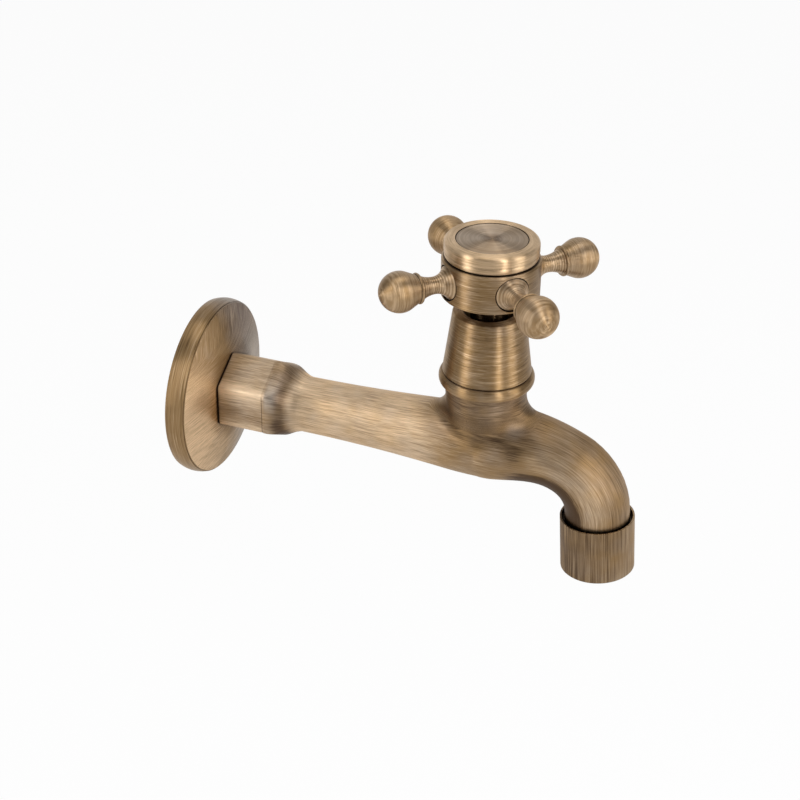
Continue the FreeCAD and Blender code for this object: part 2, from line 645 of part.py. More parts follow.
def bonnet_cover():
    """Tapered cover of the headwork with a bead round its foot."""
    bead_top = "boss_height + bead_height"
    fit = "headwork_flange_radius + cover_gap"
    on_tower(turned("bonnet_cover", [
        (fit, "boss_height"),
        ("bead_edge_radius", "boss_height", "bead_height / 1.6", "left"),
        ("bead_radius", "boss_height + bead_height / 2", "bead_height / 1.6", "left"),
        ("bead_edge_radius", bead_top),
        ("cone_foot_radius - cone_step", f"{bead_top} + cone_step / 2"),
        ("cone_foot_radius", f"{bead_top} + 2 * cone_step"),
        ("cone_top_radius", "cover_top - cover_edge"),
        ("cone_top_radius - 0.3 * cover_edge", "cover_top - 0.3 * cover_edge"),
        ("cone_top_radius - cover_edge", "cover_top"),
        ("cover_mouth_radius", "cover_top"),
        ("cover_mouth_radius", "cover_top - cover_wall"),
        ("cone_top_radius - cover_wall", "cover_top - cover_wall"),
        (fit, "headwork_flange_top + 1"),
    ]))


def headwork_washer():
    """Fibre washer between the boss and the headwork."""
    on_tower(turned("headwork_washer", [
        ("chamber_radius", "boss_height"),
        ("headwork_flange_radius", "boss_height"),
        ("headwork_flange_radius", "washer_top"),
        ("chamber_radius", "washer_top"),
    ]))


def cartridge_housing():
    """Brass headwork: skirt with windows, thread, flange, hexagon and long neck."""
    thread_foot = "boss_height - headwork_thread_length"
    thread_radius = "chamber_radius - headwork_thread_gap"
    hex_top = "headwork_flange_top + headwork_hex_height"
    room = "disc_radius + disc_gap"
    bore = "stem_radius + stem_gap"
    body = turned("cartridge_housing", [
        (room, "seat_height + skirt_floor_gap"),
        ("skirt_radius", "seat_height + skirt_floor_gap"),
        ("skirt_radius", f"{thread_foot} - 1"),
        (thread_radius, thread_foot),
        (thread_radius, "washer_top"),
        ("headwork_flange_radius", "washer_top"),
        ("headwork_flange_radius", "headwork_flange_top"),
        ("headwork_hex_across / 2 - 0.4", "headwork_flange_top"),
        ("headwork_hex_across / 2 - 0.4", hex_top),
        ("neck_foot_radius", hex_top),
        ("neck_radius", f"{hex_top} + 3"),
        ("neck_radius", "neck_top"),
        (bore, "neck_top"),
        (bore, "disc_room_top"),
        (room, "disc_room_top"),
    ])
    ring = new_sketch(body, "headwork_hex_outline", "XY_Plane", "headwork_flange_top")
    draw_hexagon(ring, "headwork_hex_across", "0.8")
    draw_circle(ring, bore)
    extrude(body, "headwork_hex", ring, "headwork_hex_height")
    window = new_sketch(body, "window_outline", "XZ_Plane", "-skirt_radius - 1")
    draw(window, [
        ("-window_width / 2", "upper_disc_foot"),
        ("window_width / 2", "upper_disc_foot"),
        ("window_width / 2", f"{thread_foot} - 1.2"),
        ("-window_width / 2", f"{thread_foot} - 1.2"),
    ])
    extrude(body, "windows", window, "2 * skirt_radius + 2", "Pocket", against=True)
    on_tower(body)


def seat_seal():
    """Rubber ring between the seat and the fixed disc."""
    on_tower(turned("seat_seal", [
        ("seal_bore_radius", "seat_height"),
        ("disc_radius", "seat_height"),
        ("disc_radius", "lower_disc_foot"),
        ("seal_bore_radius", "lower_disc_foot"),
    ]))


def ceramic_disc(label, foot, turn):
    """A ceramic disc with two ports, one each side of its bridge."""
    body = turned(label, [
        ("0", foot),
        ("disc_radius", foot),
        ("disc_radius", f"{foot} + disc_height"),
        ("0", f"{foot} + disc_height"),
    ])
    port = new_sketch(body, label + "_port_outline", "XY_Plane", foot)
    half = "sqrt(disc_port_radius^2 - disc_port_hub^2)"
    draw(port, [
        (f"-{half}", "disc_port_hub"),
        (half, "disc_port_hub", "disc_port_radius", "left"),
        ("0", "disc_port_radius", "disc_port_radius", "left"),
    ])
    hole = extrude(body, label + "_port", port, "disc_height", "Pocket", against=True)
    repeat(body, label + "_ports", [hole], "2")
    on_tower(body, turn=turn)
    return body


def ceramic_discs():
    """The fixed disc, and the upper disc that the spindle turns; shut, their ports are crossed."""
    ceramic_disc("ceramic_disc_fixed", "lower_disc_foot", "0")
    upper = ceramic_disc("ceramic_disc_rotating", "upper_disc_foot", "90")
    slot = new_sketch(upper, "drive_slot_outline", "XY_Plane", "stem_foot")
    draw(slot, [
        ("-disc_radius - 1", "-drive_width / 2 - stem_gap"),
        ("disc_radius + 1", "-drive_width / 2 - stem_gap"),
        ("disc_radius + 1", "drive_width / 2 + stem_gap"),
        ("-disc_radius - 1", "drive_width / 2 + stem_gap"),
    ])
    extrude(upper, "drive_slot", slot, "drive_depth + stem_gap", "Pocket")


def thrust_washer():
    """Slippery washer that takes the spindle's upward push."""
    on_tower(turned("thrust_washer", [
        ("stem_radius + stem_gap", "stem_flange_top"),
        ("disc_radius - disc_gap", "stem_flange_top"),
        ("disc_radius - disc_gap", "disc_room_top - disc_face_gap"),
        ("stem_radius + stem_gap", "disc_room_top - disc_face_gap"),
    ]))


def spline_grooves(body, name, foot, top, tip, depth):
    """V grooves round a shaft, or teeth cut outward from a bore."""
    outline = new_sketch(body, name + "_outline", "XY_Plane", foot)
    half = f"{tip} * tan(360 / spline_count / 3)"
    draw(outline, [
        (f"{tip} - {depth}", "0"),
        (f"{tip} + 0.05", f"{half}"),
        (f"{tip} + 0.05", f"-{half}"),
    ])
    groove = extrude(body, name + "_groove", outline, f"{top} - ({foot})", "Pocket", against=True)
    return repeat(body, name, [groove], "spline_count")


def spindle():
    """Spindle: key and flange on the disc, stem with two ring grooves, clip groove, splined head."""
    groove_foot = [f"lower_ring_height + {k} * ring_pitch - ring_section / 2 - 0.05" for k in (0, 1)]
    groove_radius = "stem_radius + stem_gap - 0.02 - ring_section"
    outline = [("0", "stem_foot"), ("disc_radius - disc_gap", "stem_foot"),
               ("disc_radius - disc_gap", "stem_flange_top"), ("stem_radius", "stem_flange_top")]
    for foot in groove_foot:
        top = f"{foot} + ring_section + 0.1"
        outline += [("stem_radius", foot), (groove_radius, foot), (groove_radius, top), ("stem_radius", top)]
    outline += [
        ("stem_radius", "neck_top"),
        ("clip_groove_radius", "neck_top"),
        ("clip_groove_radius", "neck_top + clip_height"),
        ("stem_radius", "neck_top + clip_height"),
        ("stem_radius", "hub_foot - hub_collar_height - 0.1"),
        ("spline_radius", "hub_foot - hub_collar_height - 0.1"),
        ("spline_radius", "stem_room_top - 0.7"),
        ("spline_radius - 0.5", "stem_room_top - 0.2"),
        ("screw_radius", "stem_room_top - 0.2"),
        ("screw_radius", "hub_well_floor + screw_washer_height - screw_length - 1"),
        ("0", "hub_well_floor + screw_washer_height - screw_length - 1 - screw_radius"),
    ]
    body = turned("spindle", outline)
    key = new_sketch(body, "drive_key_outline", "XY_Plane", "stem_foot")
    draw(key, [
        ("-disc_port_radius", "-drive_width / 2"),
        ("disc_port_radius", "-drive_width / 2"),
        ("disc_port_radius", "drive_width / 2"),
        ("-disc_port_radius", "drive_width / 2"),
    ])
    extrude(body, "drive_key", key, "drive_depth", against=True)
    spline_grooves(body, "splines", "hub_foot - hub_collar_height - 0.1", "stem_room_top", "spline_radius",
                   "spline_depth")
    on_tower(body, turn="90")


def spindle_rings():
    """The two rubber rings that seal the spindle."""
    middle = "stem_radius + stem_gap - 0.02 - ring_section / 2"
    corners = range(0, 360, 60)
    for k, label in enumerate(("spindle_o_ring_lower", "spindle_o_ring_upper")):
        height = f"lower_ring_height + {k} * ring_pitch"
        on_tower(turned(label, [
            (f"{middle} + ring_section / 2 * cos({turn})", f"{height} + ring_section / 2 * sin({turn})")
            for turn in corners
        ]))


def spindle_circlip():
    """Open spring clip that keeps the spindle in the headwork."""
    body = doc.addObject("PartDesign::Body", "spindle_circlip")
    body.Label = "spindle_circlip"
    pieces.append(body)
    outline = new_sketch(body, "clip_outline", "XY_Plane", "neck_top + disc_face_gap")
    across, up = "cos(clip_opening / 2)", "sin(clip_opening / 2)"
    draw(outline, [
        (f"clip_radius * {across}", f"clip_radius * {up}", "clip_radius", "left"),
        ("0", "clip_radius", "clip_radius", "left"),
        ("-clip_radius", "0", "clip_radius", "left"),
        ("0", "-clip_radius", "clip_radius", "left"),
        (f"clip_radius * {across}", f"-clip_radius * {up}"),
        (f"clip_groove_radius * {across}", f"-clip_groove_radius * {up}", "clip_groove_radius", "right"),
        ("0", "-clip_groove_radius", "clip_groove_radius", "right"),
        ("-clip_groove_radius", "0", "clip_groove_radius", "right"),
        ("0", "clip_groove_radius", "clip_groove_radius", "right"),
        (f"clip_groove_radius * {across}", f"clip_groove_radius * {up}"),
    ])
    extrude(body, "clip", outline, "clip_height - 2 * disc_face_gap")
    on_tower(body)


def handle_hub():
    """Hub of the cross handle: splined socket, well for the cap and a recess for each arm."""
    socket = "spline_radius + spline_gap"
    body = turned("handle_hub", [
        (socket, "hub_foot - hub_collar_height"),
        ("hub_collar_radius", "hub_foot - hub_collar_height"),
        ("hub_collar_radius", "hub_foot"),
        ("hub_radius - hub_edge", "hub_foot"),
        ("hub_radius", "hub_foot + hub_edge"),
        ("hub_radius", "hub_top - hub_chamfer"),
        ("hub_radius - hub_chamfer", "hub_top"),
        ("hub_well_radius", "hub_top"),
        ("hub_well_radius", "hub_well_floor"),
        ("screw_radius + screw_gap", "hub_well_floor"),
        ("screw_radius + screw_gap", "stem_room_top"),
        (socket, "stem_room_top"),
    ])
    recess = new_sketch(body, "arm_recess_outline", "XZ_Plane", "socket_floor")
    draw_circle(recess, "socket_radius", "0", "arm_height")
    recess_cut = extrude(body, "arm_recess", recess, "hub_radius - socket_floor + 1", "Pocket", against=True)
    hole = new_sketch(body, "stud_hole_outline", "XZ_Plane", "stud_end - 0.3")
    draw_circle(hole, "stud_radius", "0", "arm_height")
    hole_cut = extrude(body, "stud_hole", hole, "hub_radius - stud_end", "Pocket", against=True)
    repeat(body, "arm_seats", [recess_cut, hole_cut], "arm_count")
    on_tower(body, turn="arm_turn")


def handle_arms():
    """Turned arms: stud, foot, waisted neck, ring and ball."""
    flare = "(neck_waist_reach - socket_floor - root_rim - arm_edge)"
    drop = "(root_radius - root_step - neck_waist_radius)"
    rise = "(neck_end_radius - neck_waist_radius)"
    run = "(ring_reach - neck_waist_reach)"
    foot_arc = f"({flare}^2 + {drop}^2) / (2 * {drop})"
    ring_arc = f"({run}^2 + {rise}^2) / (2 * {rise})"
    outline = [
        ("0", "stud_end"),
        ("stud_radius - arm_edge", "stud_end"),
        ("stud_radius", "stud_end + arm_edge"),
        ("stud_radius", "socket_floor"),
        ("root_radius", "socket_floor"),
        ("root_radius", "socket_floor + root_rim"),
        ("root_radius - root_step", "socket_floor + root_rim + arm_edge", foot_arc, "right"),
        ("neck_waist_radius", "neck_waist_reach", ring_arc, "right"),
        ("neck_end_radius", "ring_reach"),
        ("ring_radius - ring_width / 4", "ring_reach"),
        ("ring_radius", "ring_reach + ring_width / 3"),
        ("ring_radius", "ring_reach + 2 * ring_width / 3"),
        ("ring_radius - ring_width / 4", "ring_reach + ring_width"),
        ("ball_foot_radius", "ring_reach + ring_width"),
        ("ball_radius * cos(20)", "ball_reach - ball_radius * sin(20)", "ball_radius", "left"),
        ("ball_radius * cos(40)", "ball_reach + ball_radius * sin(40)", "ball_radius", "left"),
        ("0", "ball_reach + ball_radius"),
    ]
    for k in range(int(number("arm_count"))):
        body = turned(f"handle_arm_{k + 1}", outline)
        way = math.radians(number(f"arm_turn + {k} * 360 / arm_count"))
        outward = FreeCAD.Vector(math.cos(way), math.sin(way), 0)
        body.Placement.Rotation = FreeCAD.Rotation(FreeCAD.Vector(0, 0, 1), outward)
        bind(body, "Placement.Base.y", "-tower_reach")
        bind(body, "Placement.Base.z", "arm_height")


def handle_screw():
    """Socket-head screw that holds the hub on the spindle, and its washer."""
    head_foot = "hub_well_floor + screw_washer_height"
    screw = turned("handle_screw", [
        ("0", f"{head_foot} - screw_length"),
        ("screw_radius - 0.4", f"{head_foot} - screw_length"),
        ("screw_radius", f"{head_foot} - screw_length + 0.4"),
        ("screw_radius", head_foot),
        ("screw_head_radius", head_foot),
        ("screw_head_radius", f"{head_foot} + screw_head_height - 0.5"),
        ("screw_head_radius - 0.5", f"{head_foot} + screw_head_height"),
        ("0", f"{head_foot} + screw_head_height"),
    ])
    socket = new_sketch(screw, "screw_socket_outline", "XY_Plane", f"{head_foot} + screw_head_height")
    draw_hexagon(socket, "screw_socket_across", "0.1")
    extrude(screw, "screw_socket", socket, "screw_socket_depth", "Pocket")
    on_tower(screw)
    on_tower(turned("handle_screw_washer", [
        ("screw_radius + screw_gap", "hub_well_floor"),
        ("screw_washer_radius", "hub_well_floor"),
        ("screw_washer_radius", head_foot),
        ("screw_radius + screw_gap", head_foot),
    ]))


def handle_cap():
    """Screw-in cap with a lower bead, a fine groove, a flat band and a sunk disc."""
    skirt = "hub_well_radius - cap_skirt_gap"
    bead_foot = "hub_top + cap_seam"
    bead_top = f"{bead_foot} + cap_bead_height"
    well = "index_radius + index_gap"
    well_floor = "cap_top - index_height - index_sink"
    on_tower(turned("handle_cap", [
        ("cap_hollow_radius", "hub_top - cap_skirt_length"),
        (skirt, "hub_top - cap_skirt_length"),
        (skirt, "hub_top"),
        ("cap_seam_radius", "hub_top"),
        ("cap_seam_radius", bead_foot),
        ("cap_bead_radius - 0.3", bead_foot, "cap_bead_height", "left"),
        ("cap_radius - cap_groove", bead_top),
        ("cap_radius - cap_groove", f"{bead_top} + cap_groove"),
        ("cap_radius", f"{bead_top} + cap_groove"),
        ("cap_radius", "cap_top - cap_edge", "cap_edge", "left"),
        ("cap_radius - cap_edge", "cap_top"),
        (well, "cap_top"),
        (well, well_floor),
        ("0", well_floor),
        ("0", "hub_top + cap_hollow_top"),
        ("cap_hollow_radius", "hub_top + cap_hollow_top"),
    ]))
    on_tower(turned("index_disc", [
        ("0", well_floor),
        ("index_radius", well_floor),
        ("index_radius", "cap_top - index_sink - 0.15"),
        ("index_radius - 0.15", "cap_top - index_sink"),
        ("0", "cap_top - index_sink"),
    ]))


def aerator():
    """Outlet collar and what it holds: washer, wire screen and the nozzle that mixes air in."""
    bore = "spigot_radius + headwork_thread_gap"
    lip_top = "collar_end - collar_lip_height"
    on_outlet(turned("aerator_housing", [
        ("collar_mouth_radius", "collar_top + collar_mouth_depth"),
        ("collar_mouth_radius", "collar_top"),
        ("collar_radius", "collar_top"),
        ("collar_radius", "collar_end - collar_edge"),
        ("collar_radius - collar_edge", "collar_end"),
        ("collar_lip_radius", "collar_end"),
        ("collar_lip_radius", lip_top),
        (bore, lip_top),
        (bore, "collar_top + collar_mouth_depth"),
    ]))
    on_outlet(turned("aerator_washer", [
        ("spigot_radius - 2.2", "spigot_end"),
        ("spigot_radius", "spigot_end"),
        ("spigot_radius", "spigot_end + collar_washer_height"),
        ("spigot_radius - 2.2", "spigot_end + collar_washer_height"),
    ]))
    screen_top = "spigot_end + collar_washer_height"
    screen = turned("aerator_screen", [
        ("0", screen_top),
        ("spigot_radius", screen_top),
        ("spigot_radius", f"{screen_top} + screen_height"),
        ("0", f"{screen_top} + screen_height"),
    ])
    holes = []
    for ring, (reach, count) in enumerate((("2.6", 6), ("5.2", 12))):
        spot = new_sketch(screen, f"screen_hole_{ring + 1}_outline", "XY_Plane", screen_top)
        draw_circle(spot, "screen_hole_radius", reach, "0")
        hole = extrude(screen, f"screen_hole_{ring + 1}", spot, "screen_height", "Pocket", against=True)
        holes.append((hole, count))
    for ring, (hole, count) in enumerate(holes):
        repeat(screen, f"screen_ring_{ring + 1}", [hole], str(count))
    on_outlet(screen)
    nozzle_top = f"{screen_top} + screen_height"
    nozzle = turned("aerator_insert", [
        ("collar_lip_radius - 1.1", nozzle_top),
        ("spigot_radius", nozzle_top),
        ("spigot_radius", f"{nozzle_top} + 1"),
        ("spigot_radius - 0.8", f"{nozzle_top} + 1"),
        ("spigot_radius - 0.8", lip_top),
        ("collar_lip_radius - 1.1", lip_top),
    ])
    bars = new_sketch(nozzle, "nozzle_bar_outline", "XY_Plane", f"{lip_top} - 1.2")
    draw(bars, [
        ("-collar_lip_radius", "-0.5"),
        ("collar_lip_radius", "-0.5"),
        ("collar_lip_radius", "0.5"),
        ("-collar_lip_radius", "0.5"),
    ])
    bar = extrude(nozzle, "nozzle_bar", bars, "1.2")
    repeat(nozzle, "nozzle_bars", [bar], "6")
    on_outlet(nozzle)


def check_and_write():
    """Refuses a failed feature or an invalid solid, then writes one file for each piece."""
    doc.removeObject("Probe")
    doc.recompute()
    for thing in doc.Objects:
        if "Invalid" in thing.State or "Error" in thing.State:
            raise RuntimeError(f"{thing.Name} failed: {thing.State}")
    os.makedirs("parts", exist_ok=True)
    for piece in pieces:
        shape = piece.Shape
        if shape.isNull() or not shape.isValid() or len(shape.Solids) != 1:
            raise RuntimeError(f"{piece.Label} has no single valid solid")
    for piece in pieces:
        piece.Shape.exportStep(f"parts/{piece.Label}.step")
        print(piece.Label, len(piece.Shape.Faces), "faces", round(piece.Shape.Volume, 1), "mm3")


tap_body()
wall_flange()
bonnet_cover()
headwork_washer()
cartridge_housing()
seat_seal()
ceramic_discs()
thrust_washer()
spindle()
spindle_rings()
spindle_circlip()
handle_hub()
handle_arms()
handle_screw()
handle_cap()
aerator()
check_and_write()
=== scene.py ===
import json
import math

import bmesh
import bpy
from mathutils import Matrix, Vector


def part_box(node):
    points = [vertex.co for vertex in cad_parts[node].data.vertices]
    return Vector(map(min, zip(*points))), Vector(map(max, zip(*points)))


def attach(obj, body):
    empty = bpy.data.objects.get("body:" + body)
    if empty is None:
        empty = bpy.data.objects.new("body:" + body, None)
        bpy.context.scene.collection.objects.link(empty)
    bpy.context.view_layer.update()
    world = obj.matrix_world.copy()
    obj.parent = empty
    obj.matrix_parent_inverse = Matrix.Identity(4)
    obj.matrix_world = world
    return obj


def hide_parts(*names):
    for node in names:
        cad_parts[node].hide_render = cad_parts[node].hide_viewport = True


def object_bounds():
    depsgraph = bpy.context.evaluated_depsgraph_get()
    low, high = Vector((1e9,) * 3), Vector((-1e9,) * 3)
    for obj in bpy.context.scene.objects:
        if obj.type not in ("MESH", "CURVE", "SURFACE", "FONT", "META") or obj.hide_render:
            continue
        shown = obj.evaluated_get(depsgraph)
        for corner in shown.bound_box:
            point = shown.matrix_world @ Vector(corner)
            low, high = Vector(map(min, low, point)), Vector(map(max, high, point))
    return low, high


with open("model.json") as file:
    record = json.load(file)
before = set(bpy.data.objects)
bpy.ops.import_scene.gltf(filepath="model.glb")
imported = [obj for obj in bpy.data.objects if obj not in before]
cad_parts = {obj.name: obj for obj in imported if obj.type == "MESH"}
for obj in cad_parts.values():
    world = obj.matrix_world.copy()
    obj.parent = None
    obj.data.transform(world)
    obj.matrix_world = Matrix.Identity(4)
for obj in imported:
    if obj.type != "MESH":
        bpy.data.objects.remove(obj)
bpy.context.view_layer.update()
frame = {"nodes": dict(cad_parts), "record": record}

# The dressed tap: every CAD piece keeps its shape and gets brushed antique brass, or the
# material it is made of. The casting is shown by a copy of itself, into which the thread of
# the inlet is cut. Metres, in the frame of the model. Places inside a material, and the bands
# that name such places, are in millimetres.
NODES = frame["nodes"]
MM = 0.001
UP = Vector((0, 0, 1))

# The photograph's camera.
LOOK_AT = Vector((-0.035, -71.08, 8.8)) * MM
AZIMUTH, ELEVATION, ROLL = math.radians(-69.39), math.radians(30.3), math.radians(0.742)
DISTANCE = 575.64 * MM
FOCAL_LENGTH, SENSOR = 79.37, 36.0
NEAR, FAR = 0.01, 20


def middle(node):
    """The middle of a CAD piece's box."""
    low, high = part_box(node)
    return (low + high) / 2


# Places that the materials and the thread need, read from the frame.
MOUNTS = {mount["name"]: mount for mount in frame["record"]["mounts"]}
HUB = middle("handle_hub")
TOWER = Vector((0, middle("bonnet_cover").y, 0))
HEX_FOOT = -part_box("wall_flange")[0].y
HEX_LENGTH = 16.3 * MM
BEND_RADIUS = 17.9 * MM
BEND_START = -121.5 * MM
OUTLET = Vector(MOUNTS["outlet_collar"]["pos_m"])
OUTLET_AXIS = Vector(MOUNTS["outlet_collar"]["axis"])
THREAD_RADIUS = MOUNTS["inlet_thread"]["dims"]["r_mm"] * MM
THREAD_FOOT = -MOUNTS["inlet_thread"]["dims"]["length_mm"] / 2 * MM

# The half inch pipe thread of the inlet. The groove is a V with a flat root. It starts some
# turns past the foot of the thread, and takes some turns to get its depth.
THREAD_PITCH = 1.814 * MM
THREAD_DEPTH = 1.162 * MM
STEPS_PER_TURN = 40
GROOVE_START, GROOVE_RUN_IN = 0.4, 0.75
# How far outside the thread the root of the groove begins, and its rim lies.
ROOT_OUTSIDE, RIM_OUTSIDE = 0.1 * MM, 0.15 * MM
# Half the groove's width at its root, and what the thread's depth adds to it, in pitches.
HALF_ROOT, HALF_SPREAD = 0.08, 0.3344

# Points closer than this are welded, and edges sharper than this angle stay sharp.
WELD = 0.002 * MM
SHARP_ANGLE = math.radians(28)

# Colours as they are meant to show, in linear light.
PATINA = (0.022, 0.012, 0.007)
BRASS_DARK = (0.085, 0.048, 0.022)
BRASS_MID = (0.305, 0.192, 0.090)
BRASS_LIGHT = (0.850, 0.625, 0.400)
GREY_DARK = (0.115, 0.078, 0.060)
GREY_LIGHT = (0.540, 0.460, 0.380)

# The middle tone, and the tones between which one colour gives way to the next.
TONE_MIDDLE = 0.54
DARK_TO_MID, MID_TO_LIGHT, GREY_TONES = (-0.1, 0.5), (0.45, 1.5), (-0.1, 1.1)

# The strokes of the brushing: how often each kind repeats across and along, and the detail and
# roughness of its noise. Then the weights of strokes and clouds in what they change.
STROKES = {"broad": (0.5, 0.5, 2.0, 0.6), "coarse": (2.3, 1.0, 3.0, 0.62), "fine": (5.0, 1.7, 2.0, 0.7)}
TONE_WEIGHTS = {"broad": 0.4, "coarse": 1.6, "fine": 1.5, "cloud": 0.4}
HEIGHT_WEIGHTS = {"coarse": 0.6, "fine": 1.0}
ROUGHNESS_WEIGHTS = {"coarse": 0.2, "fine": 0.15}
STROKE_DEPTH, STROKE_STRENGTH = 0.05 * MM, 0.3
# Clouds of tone, and patches of the greyer brass.
CLOUD_GRAIN, CLOUD_NOISE = 0.07, (3.0, 0.55)
PATCH_GRAIN, PATCH_PLACE, PATCH_CONTRAST = 0.12, (5.0, 3.0, 1.0), 0.9
# The relief of a smooth place, and what relief adds to the tone and to the height.
NO_RELIEF, RELIEF_TONE, RELIEF_HEIGHT = 0.5, 0.3, 1.5
# Patina gathers in corners: how far it looks for them, and how open a dark and a clear place are.
CORNER_REACH, CORNER_OPEN, CORNER_SAMPLES = 2.2 * MM, (0.25, 0.85), 8
# Edges are shaded as if they were rounded by this radius.
EDGE_RADIUS, EDGE_SAMPLES = 0.22 * MM, 6
# A small term that gives a direction to faces which the strokes meet head on.
TANGENT_TERM = (0.02, 0.03, 0.01)

# Turned pieces: how often strokes repeat round the axis, and how far a face's rings are apart
# against the hoops of a side.
TURNED_STROKES, ARM_STROKES, DISC_STROKES = 1.6, 0.7, 0.35
RING_SPACING = 0.83
# The handle arms' fine steps: their spacing, their softness, and where they end on the neck.
STEP_PITCH, STEP_SOFTNESS, STEPS_END = 0.7, 0.7, (24.6, 23.8)
# The disc in the cap: where its middle begins and is full, its lightness, and what the middle adds.
DISC_MIDDLE, DISC_LIGHT, DISC_MIDDLE_LIGHT = (4.5, 1.0), 0.12, -0.35

# The wall flange: where its regions begin and are full, what each adds to its lightness (painted
# light on the left, painted shade at the top and round the hexagon's foot, a darker rim), the angles
# of the strokes below and above, the places in the noise that keep the kinds of strokes apart, and how
# slowly strokes change along themselves.
FLANGE_BANDS = {"upper": (2.0, 20.0), "left": (4.0, -22.0), "foot_shade": (19.0, 13.5), "rim": (28.8, 29.1)}
FLANGE_PAINTED_LIGHT, RIM_LIGHT, FLANGE_MIDDLE = {"left": 0.46, "upper": -0.38, "foot_shade": -0.22}, -0.22, 0.17
FLANGE_REFLECTION_GREY = (-8.0, 16.0, -0.1, 1.1)
LEVEL_STROKES, STEEP_STROKES = math.radians(8), math.radians(66)
STEEP_PLACE, RIM_PLACE, FLANGE_SLOW = 60, 30, 0.11

# The outlet collar: streaks along its side, and painted shade that makes it darker on the side towards the
# wall.
COLLAR_RADIUS, STREAK_ACROSS, STREAK_ALONG = 12, 0.8, 0.03
COLLAR_LIT_SIDE, COLLAR_PAINTED_SHADE = (0.35, -0.94, 0), (-12.0, 12.0, -0.3, -0.04)

# The casting's strokes: how fast they change round the pipe, along it and round the boss, the
# place in the noise that keeps the boss apart, and the wave that the pipe's strokes have.
PIPE_AROUND, PIPE_SLOW, BOSS_SLOW, BOSS_PLACE = 10, 0.09, 1.2, 40
WAVE_ALONG, WAVE_AROUND, WAVE_HEIGHT = 0.04, 0.1, 1.5

# The casting's regions. A band goes from where a region has no effect to where it has all of
# it, in a measure that body_brass takes: along the pipe from the wall, up from the middle of
# the pipe or its bend, the height over the inlet's axis, the distance from that height's zero,
# or the distance from the tower's or the inlet's axis. A region is the product of its bands.
CAST_BANDS = {
    "boss": (("from_tower", 19.0, 13.5), ("height", 9.5, 15.0)),
    "hexagon": (("along", 28.0, 26.0),),
    "ridge_highlight": (("along", 28.0, 26.0), ("from_inlet", 12.4, 13.6), ("off_middle", 11.0, 9.0)),
    "shoulder": (("along", 26.6, 28.4), ("along", 33.0, 30.0)),
    "corner": (("along", 26.6, 28.4), ("along", 33.0, 30.0), ("height", 11.0, 8.0), ("height", -1.0, 4.5)),
    "waist": (("along", 28.6, 32.0), ("along", 37.5, 32.6)),
    "pipe": (("along", 33.0, 36.0), ("along", 96.0, 78.0)),
    "hollow_shade": (("from_tower", 24.0, 15.0), ("height", 17.0, 10.0), ("height", 1.0, 8.0)),
    "inner_bend_shade": (("along", 107.0, 121.0), ("up", 0.0, -8.0)),
    "outer_bend_shade": (("along", 118.0, 134.0), ("up", 0.0, 8.0)),
    "crown_highlight": (("along", 112.0, 124.0), ("up", -4.0, 1.0), ("up", 9.0, 4.0)),
}
# Two painted spots where the boss runs into the spout: a painted highlight over a painted shade.
PAINTED_SPOTS = {"pale_highlight": ((-7.0, -112.5, 9.5), 5.0, 1.0), "dull_shade": ((-9.5, -113.5, 3.0), 5.5, 1.5)}
# What each region adds to the casting's lightness and greyness. The lightness is painted light and
# shade: painted light on the ridge, crown, pipe, corner, shoulder and pale spot, painted shade on the
# boss, hollow, inner and outer bend and dull spot. The greyness of the corner, shoulder and pale spot is a
# painted reflection.
CAST_PAINTED_LIGHT = {
    "ridge_highlight": 0.45, "pipe": 0.41, "corner": 0.25, "shoulder": 0.05, "boss": -0.26, "hollow_shade": -0.32,
    "inner_bend_shade": -1.6, "outer_bend_shade": -0.14, "crown_highlight": 0.24, "pale_highlight": 0.22, "dull_shade": -0.18,
}
CAST_GREY_AND_REFLECTION = {"corner": 0.45, "waist": 0.25, "shoulder": 0.15, "hexagon": 0.08, "boss": 0.1, "pale_highlight": 0.4}
CAST_GREY_MIDDLE = 0.18
# By height, painted light and shade: the hexagon is lighter above than below, and the waist behind it
# darker below.
HEXAGON_PAINTED_LIGHT, WAIST_PAINTED_SHADE = (-1.5, 3.0, -0.04, 0.32), (1.0, -8.0, 0.3, 0.7)
# Dark lines at the ends of the milled hexagon. The first lies round its foot and runs out
# softly on both sides; the second is fine, lies on its lower part and is fainter.
FOOT_LINE = ((-1.0, -0.5), (0.75, 0.45))
END_LINE, END_LINE_HEIGHT, END_LINE_SHARE = (0.2, 0.08), (7.2, 6.0), 0.75

# The looks of the brass pieces where they depart from the common one.
ARM_LOOK = {"light": 0.16, "grey": 0.12, "contrast": 0.75, "spread": 0.82}
CAP_LOOK = {"light": 0.44, "grey": -0.5, "contrast": 0.5, "gloss": 0.42}
DISC_LOOK = {"grey": 0.5, "contrast": 0.5, "gloss": 0.5}
COLLAR_LOOK = {"grey": 0.25, "contrast": 1.0}
CAST_LOOK = {"contrast": 0.76, "gloss": 0.5, "spread": 0.7}
MACHINED_LOOK = {"light": -0.45, "gloss": 0.22}

